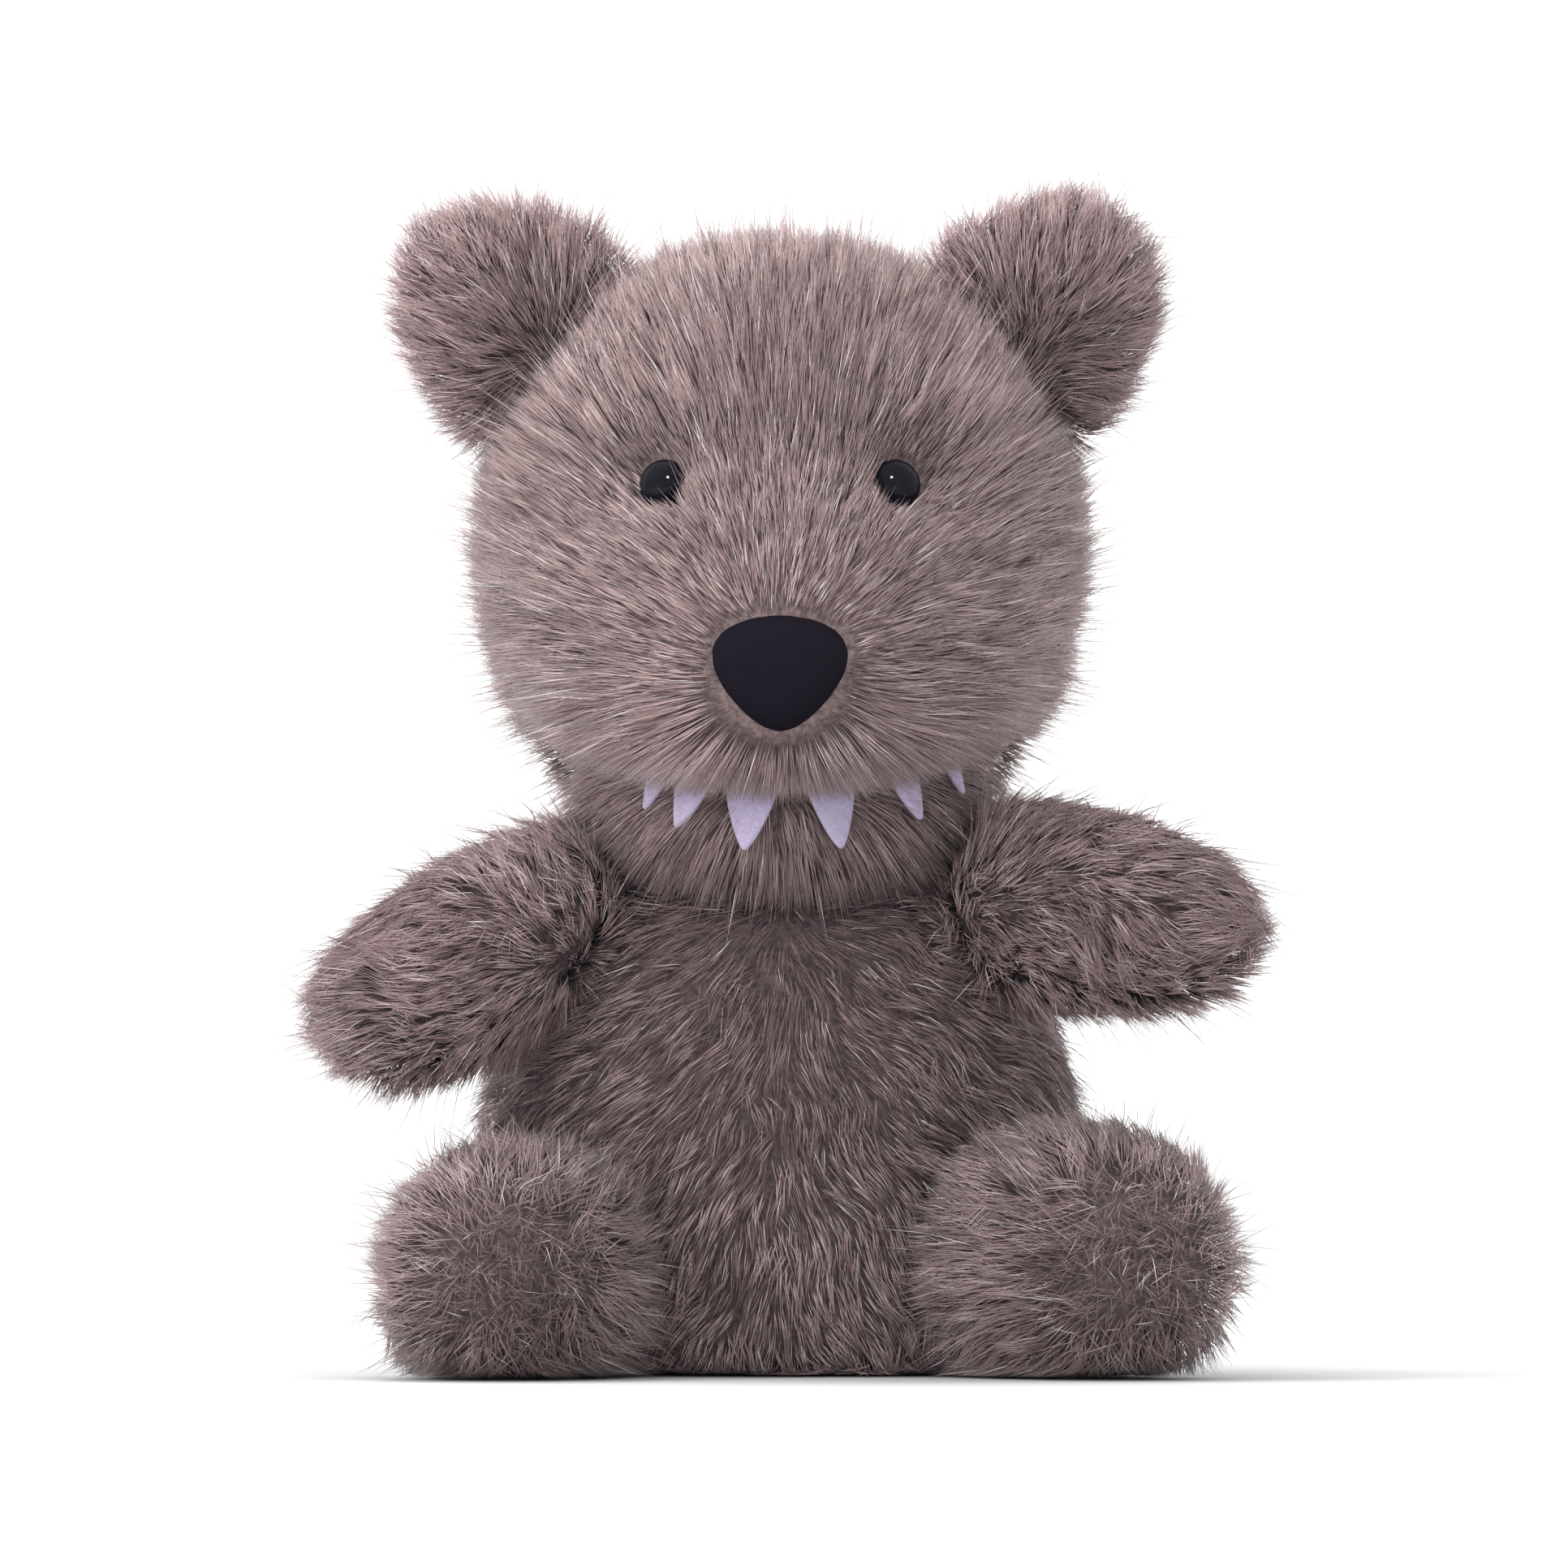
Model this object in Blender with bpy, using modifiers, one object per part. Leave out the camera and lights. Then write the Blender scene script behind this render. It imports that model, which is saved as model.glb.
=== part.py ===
"""A sitting plush wolf: stuffed fur pieces, safety eyes, a padded cloth nose and felt teeth.

Lengths are in metres, +Z is up, the wolf faces -Y and its right paw is on the -X side.
Each stuffed piece is closed by flat seams, and its neighbour is sewn on against them.
"""

from collections import namedtuple
from math import cos, exp, pi, radians, sin, tan

import bmesh
import bpy
from mathutils import Matrix, Vector, noise
from mathutils.bvhtree import BVHTree

# Clearance between pieces that touch, and how near a seam a corner is drawn onto it
GAP = 0.0003
SNAP = 0.0002

# Stuffing: 2 gives a plain ball, more gives a fuller form
FULLNESS = 2.25

# Pile: each square of a furry surface is drawn out into one lock
LOCK_HEIGHT = 0.0030
LOCK_LEAN = 0.0050
LOCK_VARIETY = 0.45
LOCK_PATCH = 0.0045
SMALLEST_LOCK = 0.000006

# Body, a pear that sits on a flat base
BODY_WIDTH = 0.1120
BODY_DEPTH = 0.0900
BODY_RISE = 0.140
BODY_MIDDLE = 0.045
BODY_TAPER = 0.20
BODY_ROWS = 11

# Neck seam, which dips towards the chest
NECK_HEIGHT = 0.0995
NECK_DIP = radians(14)

# Head with a broad muzzle
HEAD_WIDTH = 0.1095
HEAD_DEPTH = 0.0980
HEAD_HEIGHT = 0.1225
HEAD_TAPER = 0.09
HEAD_FULLNESS = 2.05
HEAD_ABOVE_NECK = 0.0550
HEAD_ROWS = 12
MUZZLE_WIDTH = 0.100
MUZZLE_HEIGHT = 0.070
MUZZLE_DROP = 0.0235
MUZZLE_REACH = 0.029
MUZZLE_EDGE = 1.8

# Mouth: the flat underside of the muzzle, and the throat behind the jaw
MOUTH_DROP = 0.0265
MOUTH_RISE = radians(16)
THROAT_AHEAD = 0.008

# Jaw, a padded bowl under the muzzle
JAW_HEIGHT = 0.0500
JAW_DROP = 0.0400
JAW_FULLNESS = 2.5
JAW_CLEARANCE = 0.0018
JAW_ROWS = 8

# Felt teeth: size of each kind, how far its tip leans outwards, and places along the lip
TOOTH_THICKNESS = 0.0014
TOOTH_INSET = 0.0024
TOOTH_FLARE = radians(16)
TOOTH_ROUNDING = 0.0004
TOOTH_SIDE_BULGE = 0.32
TOOTH_TIP_WIDTH = 0.11
TOOTH_CURVE_STEPS = 5
EYE_TOOTH_WIDTH = 0.0108
EYE_TOOTH_LENGTH = 0.0136
EYE_TOOTH_LEAN = 0.0003
SIDE_TOOTH_WIDTH = 0.0090
SIDE_TOOTH_LENGTH = 0.0108
SIDE_TOOTH_LEAN = 0.0022
BACK_TOOTH_WIDTH = 0.0062
BACK_TOOTH_LENGTH = 0.0086
BACK_TOOTH_LEAN = 0.0018
RIGHT_EYE_TOOTH_PLACE = -0.0060
RIGHT_SIDE_TOOTH_PLACE = -0.0176
RIGHT_BACK_TOOTH_PLACE = -0.0246
LEFT_EYE_TOOTH_PLACE = 0.0106
LEFT_SIDE_TOOTH_PLACE = 0.0249
LEFT_BACK_TOOTH_PLACE = 0.0342

# Padded cloth nose
NOSE_WIDTH = 0.0262
NOSE_HEIGHT = 0.0220
NOSE_THICKNESS = 0.0070
NOSE_TAPER = 0.35
NOSE_MIDDLE_SHARE = 0.93
NOSE_DROP = 0.0224
NOSE_SEAT_DEPTH = 0.0020
NOSE_DOWNWARD = radians(4)
NOSE_ROWS = 8

# Safety eyes: a domed button on a shank, held by a washer inside the head
EYE_DIAMETER = 0.0098
EYE_DOME = 0.0040
EYE_RIM = 0.0010
EYE_SPACING = 0.0452
EYE_ABOVE_MIDDLE = 0.0146
EYE_SEAT_DEPTH = 0.0036
EYE_OUTWARD = radians(20)
EYE_UPWARD = radians(8)
EYE_CLEARING = 0.0125
SHANK_DIAMETER = 0.0036
SHANK_LENGTH = 0.0120
SHANK_POINT = 0.0010
WASHER_DIAMETER = 0.0110
WASHER_THICKNESS = 0.0016
WASHER_DEPTH = 0.0030
TURNED_STEPS = 24
DOME_STEPS = 7

# Ears
EAR_WIDTH = 0.0430
EAR_THICKNESS = 0.0210
EAR_LENGTH = 0.0360
EAR_WAIST = 0.04
EAR_TAPER = 0.05
EAR_CUP = 0.0045
EAR_PLACE = radians(44)
RIGHT_EAR_RAKE = radians(42)
LEFT_EAR_RAKE = radians(45)
EAR_SEAT_DEPTH = 0.0030
EAR_ROWS = 6

# Arms: length from the shoulder seam, and how each one hangs and reaches forward
RIGHT_ARM_LENGTH = 0.0694
LEFT_ARM_LENGTH = 0.0726
ARM_WIDTH = 0.0310
ARM_HEIGHT = 0.0340
ARM_SWELL = 0.12
ARM_ROOT = 0.030
SHOULDER_DROP = 0.0035
SHOULDER_SEAT_DEPTH = 0.0040
SHOULDER_FORWARD = radians(18)
RIGHT_ARM_DROOP = radians(24)
RIGHT_ARM_FORWARD = radians(33)
LEFT_ARM_DROOP = radians(7.5)
LEFT_ARM_FORWARD = radians(40)
ARM_BELOW_HEAD = radians(47)
ARM_BESIDE_JAW = radians(30)
ARM_AROUND = 16
ARM_ALONG = 14

# Legs: length from the hip seam, and how far each one is spread from straight ahead
LEG_LENGTH = 0.064
LEG_WIDTH = 0.0440
RIGHT_LEG_HEIGHT = 0.0440
LEFT_LEG_HEIGHT = 0.0475
LEG_SWELL = 0.10
LEG_ROOT = 0.030
LEG_SINK = 0.0022
HIP_SPACING = 0.094
HIP_SEAT_DEPTH = 0.0060
RIGHT_LEG_SPREAD = radians(13)
LEFT_LEG_SPREAD = radians(28)
LEG_AROUND = 20
LEG_ALONG = 16

# Tail, hidden behind the wolf
TAIL_LENGTH = 0.046
TAIL_WIDTH = 0.026
TAIL_SWELL = -0.12
TAIL_ROOT = 0.020
TAIL_DROOP = radians(6)
TAIL_HEIGHT = 0.0165
TAIL_SEAT_DEPTH = 0.0025
TAIL_AROUND = 12
TAIL_ALONG = 10

# Colours and roughness of the finishes
FACE_FUR = (0.330, 0.250, 0.245)
BODY_FUR = (0.205, 0.150, 0.148)
LIMB_FUR = (0.240, 0.178, 0.175)
EYE_PLASTIC = (0.006, 0.006, 0.012)
WASHER_PLASTIC = (0.650, 0.640, 0.610)
NOSE_CLOTH = (0.012, 0.010, 0.018)
TOOTH_FELT = (0.560, 0.520, 0.680)
SOFT_ROUGHNESS = 0.95
CLOTH_ROUGHNESS = 0.85
WASHER_ROUGHNESS = 0.45
GLOSS_ROUGHNESS = 0.06

FORWARD = Vector((0, -1, 0))
UP = Vector((0, 0, 1))
HEAD_MIDDLE = Vector((0, 0, NECK_HEIGHT + HEAD_ABOVE_NECK))
SIDES = {"right": -1, "left": 1}

# A flat cut through a form: the stuffing lies behind it and its normal points out
Seam = namedtuple("Seam", "point normal")
FLOOR = Seam(Vector((0, 0, 0)), -UP)
NECK = Seam(UP * NECK_HEIGHT, Vector((0, -sin(NECK_DIP), cos(NECK_DIP))))


def clear_scene():
    """Removes what the scene starts with."""
    for thing in list(bpy.data.objects):
        bpy.data.objects.remove(thing)


def new_collection(name):
    """A collection linked to the scene."""
    collection = bpy.data.collections.new(name)
    bpy.context.scene.collection.children.link(collection)
    return collection


def opposite(seam):
    """The same seam as the neighbouring piece sees it, one gap away."""
    return Seam(seam.point + seam.normal * GAP, -seam.normal)


def stuffed(direction, width, depth, height, fullness=FULLNESS):
    """The point of a full, rounded form that lies in one direction from its middle."""
    spread = sum(abs(part) ** fullness for part in direction) ** (1 / fullness)
    point = direction / spread
    return Vector((point.x * width / 2, point.y * depth / 2, point.z * height / 2))


def round_form(rows, shape):
    """A ball of even squares, rows by rows on each of six sides, drawn into a shape."""
    form = bmesh.new()
    bmesh.ops.create_cube(form, size=2)
    bmesh.ops.subdivide_edges(form, edges=form.edges[:], cuts=rows - 1, use_grid_fill=True)
    for corner in form.verts:
        even = Vector([tan(part * pi / 4) for part in corner.co])
        corner.co = shape(even.normalized())
    bmesh.ops.recalc_face_normals(form, faces=form.faces[:])
    return form


def long_form(around, along, shape):
    """A ball of rings about its long axis, drawn into a shape."""
    form = bmesh.new()
    bmesh.ops.create_uvsphere(form, u_segments=around, v_segments=along, radius=1)
    for corner in form.verts:
        corner.co = shape(corner.co.normalized())
    bmesh.ops.recalc_face_normals(form, faces=form.faces[:])
    return form


def seam_on(form, start, toward, depth, facing_way=None):
    """A seam where a line from inside leaves the form, sunk below the surface by depth."""
    surface = BVHTree.FromBMesh(form)
    point, normal, _face, _distance = surface.ray_cast(start, toward.normalized())
    way = facing_way or normal
    return Seam(point - way * depth, way)


def cut(form, seam):
    """Cuts away what lies past a seam and closes the form with one flat face."""
    everything = form.verts[:] + form.edges[:] + form.faces[:]
    bmesh.ops.bisect_plane(form, geom=everything, dist=SNAP, plane_co=seam.point,
                           plane_no=seam.normal, use_snap_center=True, clear_outer=True)
    rim = [edge for edge in form.edges if edge.is_boundary]
    bmesh.ops.holes_fill(form, edges=rim)
    bmesh.ops.recalc_face_normals(form, faces=form.faces[:])


def share_short_of(seams, base, lock):
    """The share of a lock, from 0 to 1, that stays short of every seam ahead of it."""
    share = 1.0
    for seam in seams:
        room = (seam.point - base).dot(seam.normal)
        climb = lock.dot(seam.normal)
        if room > 0 and climb > 0:
            share = min(share, max(0.0, room - GAP) / climb)
    return share


def grow_locks(form, source, seams, bare=()):
    """Draws every square out into a lock of pile that lies away from the source."""
    def takes_lock(face):
        middle = face.calc_center_median()
        clear = all((middle - spot).length > EYE_CLEARING for spot in bare)
        return len(face.verts) == 4 and face.calc_area() > SMALLEST_LOCK and clear

    squares = [face for face in form.faces if takes_lock(face)]
    tips = bmesh.ops.poke(form, faces=squares)["verts"]
    form.normal_update()
    for tip in tips:
        lie = tip.co - source
        lie -= lie.project(tip.normal)
        lock = tip.normal * LOCK_HEIGHT + lie.normalized() * LOCK_LEAN
        lock *= 1 - LOCK_VARIETY * (1 + noise.noise(tip.co / LOCK_PATCH)) / 2
        tip.co += lock * share_short_of(seams, tip.co, lock)


def finish(piece, colour, roughness):
    """Gives a piece its own material."""
    material = bpy.data.materials.new(piece.name)
    material.use_nodes = True
    shader = material.node_tree.nodes["Principled BSDF"]
    shader.inputs["Base Color"].default_value = (*colour, 1)
    shader.inputs["Roughness"].default_value = roughness
    shader.inputs["Metallic"].default_value = 0
    piece.data.materials.clear()
    piece.data.materials.append(material)


def piece_from(name, form, pivot, collection):
    """An object that holds a form, with its origin at the pivot."""
    mesh = bpy.data.meshes.new(name)
    bmesh.ops.translate(form, verts=form.verts[:], vec=-pivot)
    form.to_mesh(mesh)
    form.free()
    piece = bpy.data.objects.new(name, mesh)
    piece.location = pivot
    collection.objects.link(piece)
    return piece


def make_cutter(cutter, cutters):
    """Files a cutter away so that it shows as a wire and never as a piece."""
    for holder in list(cutter.users_collection):
        holder.objects.unlink(cutter)
    cutters.objects.link(cutter)
    cutter.display_type = "WIRE"
    cutter.hide_render = True
    return cutter


def carve(form, carvers, collection):
    """The form with every cutter taken out of it."""
    block = piece_from("carved", form, Vector((0, 0, 0)), collection)
    for carver in carvers:
        carving = block.modifiers.new(carver.name, "BOOLEAN")
        carving.operation = "DIFFERENCE"
        carving.solver = "EXACT"
        carving.object = carver
    bpy.context.view_layer.update()
    carved_mesh = bpy.data.meshes.new_from_object(
        block.evaluated_get(bpy.context.evaluated_depsgraph_get()))
    bpy.data.objects.remove(block)
    carved = bmesh.new()
    carved.from_mesh(carved_mesh)
    return carved


def turned(name, profile, place, collection):
    """A piece turned about its own Z axis from a profile that runs down its outer side."""
    mesh = bpy.data.meshes.new(name)
    links = [(number, number + 1) for number in range(len(profile) - 1)]
    mesh.from_pydata([(radius, 0, height) for radius, height in profile], links, [])
    piece = bpy.data.objects.new(name, mesh)
    piece.matrix_world = place
    collection.objects.link(piece)
    turning = piece.modifiers.new("Turned", "SCREW")
    turning.axis = "Z"
    turning.angle = 2 * pi
    turning.steps = TURNED_STEPS
    turning.render_steps = TURNED_STEPS
    turning.use_merge_vertices = True
    turning.merge_threshold = SNAP / 10
    turning.use_smooth_shade = True
    return piece


def facing(seam):
    """The place and turn of a piece that sits on a seam with its Z axis pointing out."""
    across = UP.cross(seam.normal).normalized()
    upward = seam.normal.cross(across)
    turn = Matrix((across, upward, seam.normal)).transposed().to_4x4()
    return Matrix.Translation(seam.point) @ turn


# Body and head forms

def body_point(direction):
    """A pear: full at the belly and narrow at the neck."""
    taper = 1 - BODY_TAPER * direction.z
    point = stuffed(direction, BODY_WIDTH * taper, BODY_DEPTH * taper, BODY_RISE)
    return point + UP * BODY_MIDDLE


def head_point(direction):
    """A ball, narrower below, whose front is drawn out into a broad muzzle."""
    width = HEAD_WIDTH * (1 + HEAD_TAPER * direction.z)
    point = stuffed(direction, width, HEAD_DEPTH, HEAD_HEIGHT, HEAD_FULLNESS)
    across = point.x / (MUZZLE_WIDTH / 2)
    above = (point.z + MUZZLE_DROP) / (MUZZLE_HEIGHT / 2)
    frontal = max(0.0, -direction.y)
    swell = exp(-(across ** 2 + above ** 2) ** MUZZLE_EDGE)
    return point + FORWARD * (MUZZLE_REACH * frontal * swell) + HEAD_MIDDLE


def mouth_seams():
    """The palate under the muzzle and the throat behind the jaw, as the head sees them."""
    back = Vector((0, cos(MOUTH_RISE), sin(MOUTH_RISE)))
    raised = Vector((0, -sin(MOUTH_RISE), cos(MOUTH_RISE)))
    corner = HEAD_MIDDLE - UP * MOUTH_DROP - back * THROAT_AHEAD
    return Seam(corner, -raised), Seam(corner, -back)


def mouth_cutter(palate, throat, cutters):
    """A block that fills the open mouth, from the palate down and from the throat forward."""
    bpy.ops.mesh.primitive_cube_add(size=2 * HEAD_WIDTH)
    block = bpy.context.object
    block.name = "mouth_cutter"
    block.rotation_euler.x = MOUTH_RISE
    block.location = palate.point + (palate.normal + throat.normal) * HEAD_WIDTH
    return make_cutter(block, cutters)


# Eyes and their washers

def eye_seam(head, side):
    """Where an eye's rim lies against the cloth, sunk into the pile."""
    start = HEAD_MIDDLE + Vector((side * EYE_SPACING / 2, 0, EYE_ABOVE_MIDDLE))
    look = heading(side, pi / 2 - EYE_OUTWARD, -EYE_UPWARD)
    return seam_on(head, start, FORWARD, EYE_SEAT_DEPTH, look)


def eye_profile():
    """Dome, rim and shank, from the crown down to the shank's blunt end."""
    radius = EYE_DIAMETER / 2
    turns = [pi / 2 * step / DOME_STEPS for step in range(DOME_STEPS + 1)]
    dome = [(radius * sin(turn), GAP + EYE_RIM + EYE_DOME * cos(turn)) for turn in turns]
    shank = SHANK_DIAMETER / 2
    return dome + [(radius, GAP), (shank, GAP), (shank, SHANK_POINT - SHANK_LENGTH),
                   (shank - SHANK_POINT / 2, -SHANK_LENGTH), (0, -SHANK_LENGTH)]


def washer_profile():
    """A flat ring with a bevelled outer edge, round the shank and clear of it."""
    inner = SHANK_DIAMETER / 2 + GAP
    outer = WASHER_DIAMETER / 2
    top = -WASHER_DEPTH - GAP
    bottom = top - WASHER_THICKNESS
    bevel = WASHER_THICKNESS / 2
    return [(inner, top), (outer, top), (outer, top - bevel), (outer - bevel, bottom),
            (inner, bottom), (inner, top)]


def socket_profile():
    """The pocket for the eye, the bore for its shank and the room for its washer."""
    pocket = EYE_DIAMETER / 2 + GAP
    bore = SHANK_DIAMETER / 2 + GAP
    room = WASHER_DIAMETER / 2 + GAP
    washer_end = -WASHER_DEPTH - WASHER_THICKNESS - 2 * GAP
    return [(0, EYE_CLEARING), (pocket, EYE_CLEARING), (pocket, 0), (bore, 0),
            (bore, -WASHER_DEPTH), (room, -WASHER_DEPTH), (room, washer_end),
            (bore, washer_end), (bore, -SHANK_LENGTH - GAP), (0, -SHANK_LENGTH - GAP)]


# Nose and teeth

def nose_form():
    """A padded patch, wide above and narrow below, flat where it is sewn on."""
    def shape(direction):
        taper = NOSE_MIDDLE_SHARE + NOSE_TAPER * direction.y
        point = Vector((direction.x * NOSE_WIDTH / 2 * taper, direction.y * NOSE_HEIGHT / 2, 0))
        point.z = stuffed(direction, 1, 1, 2 * NOSE_THICKNESS).z
        return point
    form = round_form(NOSE_ROWS, shape)
    cut(form, Seam(UP * GAP, -UP))
    return form


def felt_tooth(name, width, length, lean, collection):
    """A flat felt tooth: its root lies along X, and its tip to -Y leans along X."""
    outline = bpy.data.curves.new(name, "CURVE")
    outline.dimensions = "2D"
    outline.fill_mode = "BOTH"
    outline.extrude = TOOTH_THICKNESS / 2 - TOOTH_ROUNDING
    outline.bevel_depth = TOOTH_ROUNDING
    outline.bevel_resolution = 0
    outline.offset = -TOOTH_ROUNDING
    outline.resolution_u = TOOTH_CURVE_STEPS
    spline = outline.splines.new("BEZIER")
    spline.bezier_points.add(2)
    spline.use_cyclic_u = True
    half = Vector((width / 2, 0, 0))
    bulge = Vector((0, -length * TOOTH_SIDE_BULGE, 0))
    tip_reach = Vector((width * TOOTH_TIP_WIDTH, 0, 0))
    corners = [-half, Vector((lean, -length, 0)), half]
    inward = half / 2
    arms = [(inward, bulge), (-tip_reach, tip_reach), (bulge, -inward)]
    for point, corner, (before, after) in zip(spline.bezier_points, corners, arms):
        point.handle_left_type = "FREE"
        point.handle_right_type = "FREE"
        point.co = corner
        point.handle_left = corner + before
        point.handle_right = corner + after
    return curve_to_piece(outline, collection)


def curve_to_piece(outline, collection):
    """A curve's solid as a mesh object, with its loose caps welded on."""
    drawn = bpy.data.objects.new(outline.name, outline)
    collection.objects.link(drawn)
    bpy.context.view_layer.update()
    solid = bmesh.new()
    solid.from_mesh(bpy.data.meshes.new_from_object(
        drawn.evaluated_get(bpy.context.evaluated_depsgraph_get())))
    bpy.data.objects.remove(drawn)
    bmesh.ops.remove_doubles(solid, verts=solid.verts[:], dist=SNAP / 10)
    bmesh.ops.recalc_face_normals(solid, faces=solid.faces[:])
    return piece_from(outline.name, solid, Vector((0, 0, 0)), collection)


def lip_point(head, palate, across):
    """The lip's edge at one distance across the mouth, and the way out from there."""
    level = palate.point - palate.normal * SNAP * 2
    start = level + Vector((across, 0, 0))
    along = FORWARD - FORWARD.project(palate.normal)
    surface = BVHTree.FromBMesh(head)
    point, normal, _face, _distance = surface.ray_cast(start, along.normalized())
    outward = Vector((normal.x, normal.y, 0)).normalized()
    return point, outward


def add_teeth(head, palate, collection):
    """Six teeth along the lip, with their roots under the muzzle."""
    sizes = {"eye": (EYE_TOOTH_WIDTH, EYE_TOOTH_LENGTH, EYE_TOOTH_LEAN),
             "side": (SIDE_TOOTH_WIDTH, SIDE_TOOTH_LENGTH, SIDE_TOOTH_LEAN),
             "back": (BACK_TOOTH_WIDTH, BACK_TOOTH_LENGTH, BACK_TOOTH_LEAN)}
    places = [("right", "back", RIGHT_BACK_TOOTH_PLACE), ("right", "side", RIGHT_SIDE_TOOTH_PLACE),
              ("right", "eye", RIGHT_EYE_TOOTH_PLACE), ("left", "eye", LEFT_EYE_TOOTH_PLACE),
              ("left", "side", LEFT_SIDE_TOOTH_PLACE), ("left", "back", LEFT_BACK_TOOTH_PLACE)]
    teeth = []
    for side, kind, across in places:
        width, length, lean = sizes[kind]
        tooth = felt_tooth(f"{kind}_tooth_{side}", width, length, SIDES[side] * lean, collection)
        edge, outward = lip_point(head, palate, across)
        root = edge - outward * TOOTH_INSET
        fall = (root - palate.point).dot(palate.normal) - GAP
        root -= palate.normal * fall
        width_way = outward.cross(palate.normal).normalized()
        length_way = Matrix.Rotation(-TOOTH_FLARE, 3, width_way) @ -palate.normal
        turn = Matrix((width_way, length_way, width_way.cross(length_way))).transposed().to_4x4()
        tooth.matrix_world = Matrix.Translation(root) @ turn
        finish(tooth, TOOTH_FELT, CLOTH_ROUGHNESS)
        teeth.append(tooth)
    return teeth


# Limbs, ears and tail

def limb_form(seam, way, length, root, width, height, swell, rings):
    """A stuffed limb from inside its seam to its end, cut flat where it is sewn on."""
    whole = length + root
    middle = seam.point + way * (length - root) / 2
    turn = way.to_track_quat("Z", "Y").to_matrix()

    def shape(direction):
        size = 1 + swell * direction.z
        return middle + turn @ stuffed(direction, width * size, height * size, whole)
    form = long_form(*rings, shape)
    cut(form, opposite(seam))
    return form


def heading(side, forward, droop):
    """The way that an arm points, from how far forward and how far down it reaches."""
    level = cos(droop)
    return Vector((side * level * cos(forward), -level * sin(forward), -sin(droop)))


def ear_form(seam, side, rake):
    """A thick rounded ear that is hollowed a little at the front."""
    way = Vector((side * cos(rake), 0, sin(rake)))
    across = Vector((0, 1, 0)).cross(way)
    turn = Matrix((across, Vector((0, 1, 0)), way)).transposed()
    half = EAR_LENGTH * (1 - EAR_WAIST)
    middle = seam.point + way * (EAR_LENGTH - half)

    def shape(direction):
        width = EAR_WIDTH * (1 - EAR_TAPER * direction.z)
        point = stuffed(direction, width, EAR_THICKNESS, 2 * half)
        hollow = max(0.0, -direction.y) ** 2 * EAR_CUP
        return middle + turn @ (point + Vector((0, hollow, 0)))
    form = round_form(EAR_ROWS, shape)
    cut(form, opposite(seam))
    return form


def jaw_form(head, palate, throat):
    """A padded bowl under the muzzle, set back all round behind the teeth."""
    setback = TOOTH_INSET + TOOTH_THICKNESS + LOCK_HEIGHT + JAW_CLEARANCE
    surface = BVHTree.FromBMesh(head)
    middle = HEAD_MIDDLE - UP * JAW_DROP + FORWARD * THROAT_AHEAD
    unit_width = 2

    def shape(direction):
        full = stuffed(direction, unit_width, unit_width, JAW_HEIGHT, JAW_FULLNESS)
        outward = Vector((full.x, full.y, 0))
        along = outward - outward.project(palate.normal)
        lip = surface.ray_cast(palate.point, along.normalized())[0]
        reach = (lip - palate.point).length - setback if lip else 0
        return middle + outward * reach + UP * full.z
    form = round_form(JAW_ROWS, shape)
    for seam in (opposite(palate), opposite(throat), opposite(NECK)):
        cut(form, seam)
    return form


def support_seam(form, way):
    """The plane that just touches a form's outermost point in one direction."""
    return Seam(max((corner.co for corner in form.verts), key=way.dot).copy(), way)


# Finding the seams, before anything is cut

def shoulder_seams(body):
    """Where each arm is sewn to the body."""
    chest = UP * (NECK_HEIGHT - SHOULDER_DROP)
    return {name: seam_on(body, chest, heading(side, SHOULDER_FORWARD, 0), SHOULDER_SEAT_DEPTH)
            for name, side in SIDES.items()}


def hip_seams(body):
    """Where each leg is sewn to the body, at a height that rests the leg on the floor."""
    heights = {"right": RIGHT_LEG_HEIGHT / 2 - LEG_SINK, "left": LEFT_LEG_HEIGHT / 2 - LEG_SINK}
    starts = {name: Vector((side * HIP_SPACING / 2, 0, heights[name]))
              for name, side in SIDES.items()}
    return {name: seam_on(body, start, FORWARD, HIP_SEAT_DEPTH)
            for name, start in starts.items()}


def ear_seams(head):
    """Where each ear is sewn to the head."""
    ways = {name: Vector((side * cos(EAR_PLACE), 0, sin(EAR_PLACE)))
            for name, side in SIDES.items()}
    return {name: seam_on(head, HEAD_MIDDLE, way, EAR_SEAT_DEPTH) for name, way in ways.items()}


def snout_seam(head):
    """The flat under the nose."""
    way = heading(SIDES["left"], pi / 2, NOSE_DOWNWARD)
    return seam_on(head, HEAD_MIDDLE - UP * NOSE_DROP, FORWARD, NOSE_SEAT_DEPTH, way)


# Adding the pieces

def furry(name, form, pivot, colour, collection):
    """A finished stuffed piece."""
    piece = piece_from(name, form, pivot, collection)
    finish(piece, colour, SOFT_ROUGHNESS)
    return piece


def add_body(body, seams, collection):
    """The body, with its pile lying down and away from the chest."""
    for seam in seams:
        cut(body, seam)
    grow_locks(body, Vector((0, -BODY_DEPTH / 2, NECK_HEIGHT)), seams)
    return furry("body", body, UP * BODY_MIDDLE, BODY_FUR, collection)


def carved_head(head, seams, mouth, eyes, collection, cutters):
    """The head's form with its seams cut and its mouth and eye sockets carved out."""
    for seam in seams:
        cut(head, seam)
    carvers = [mouth_cutter(*mouth, cutters)]
    for name, seam in eyes.items():
        socket = turned(f"socket_cutter_{name}", socket_profile(), facing(seam), collection)
        carvers.append(make_cutter(socket, cutters))
    head = carve(head, carvers, collection)
    grow_locks(head, seams[0].point, [*seams, *mouth], [seam.point for seam in eyes.values()])
    return head


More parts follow.
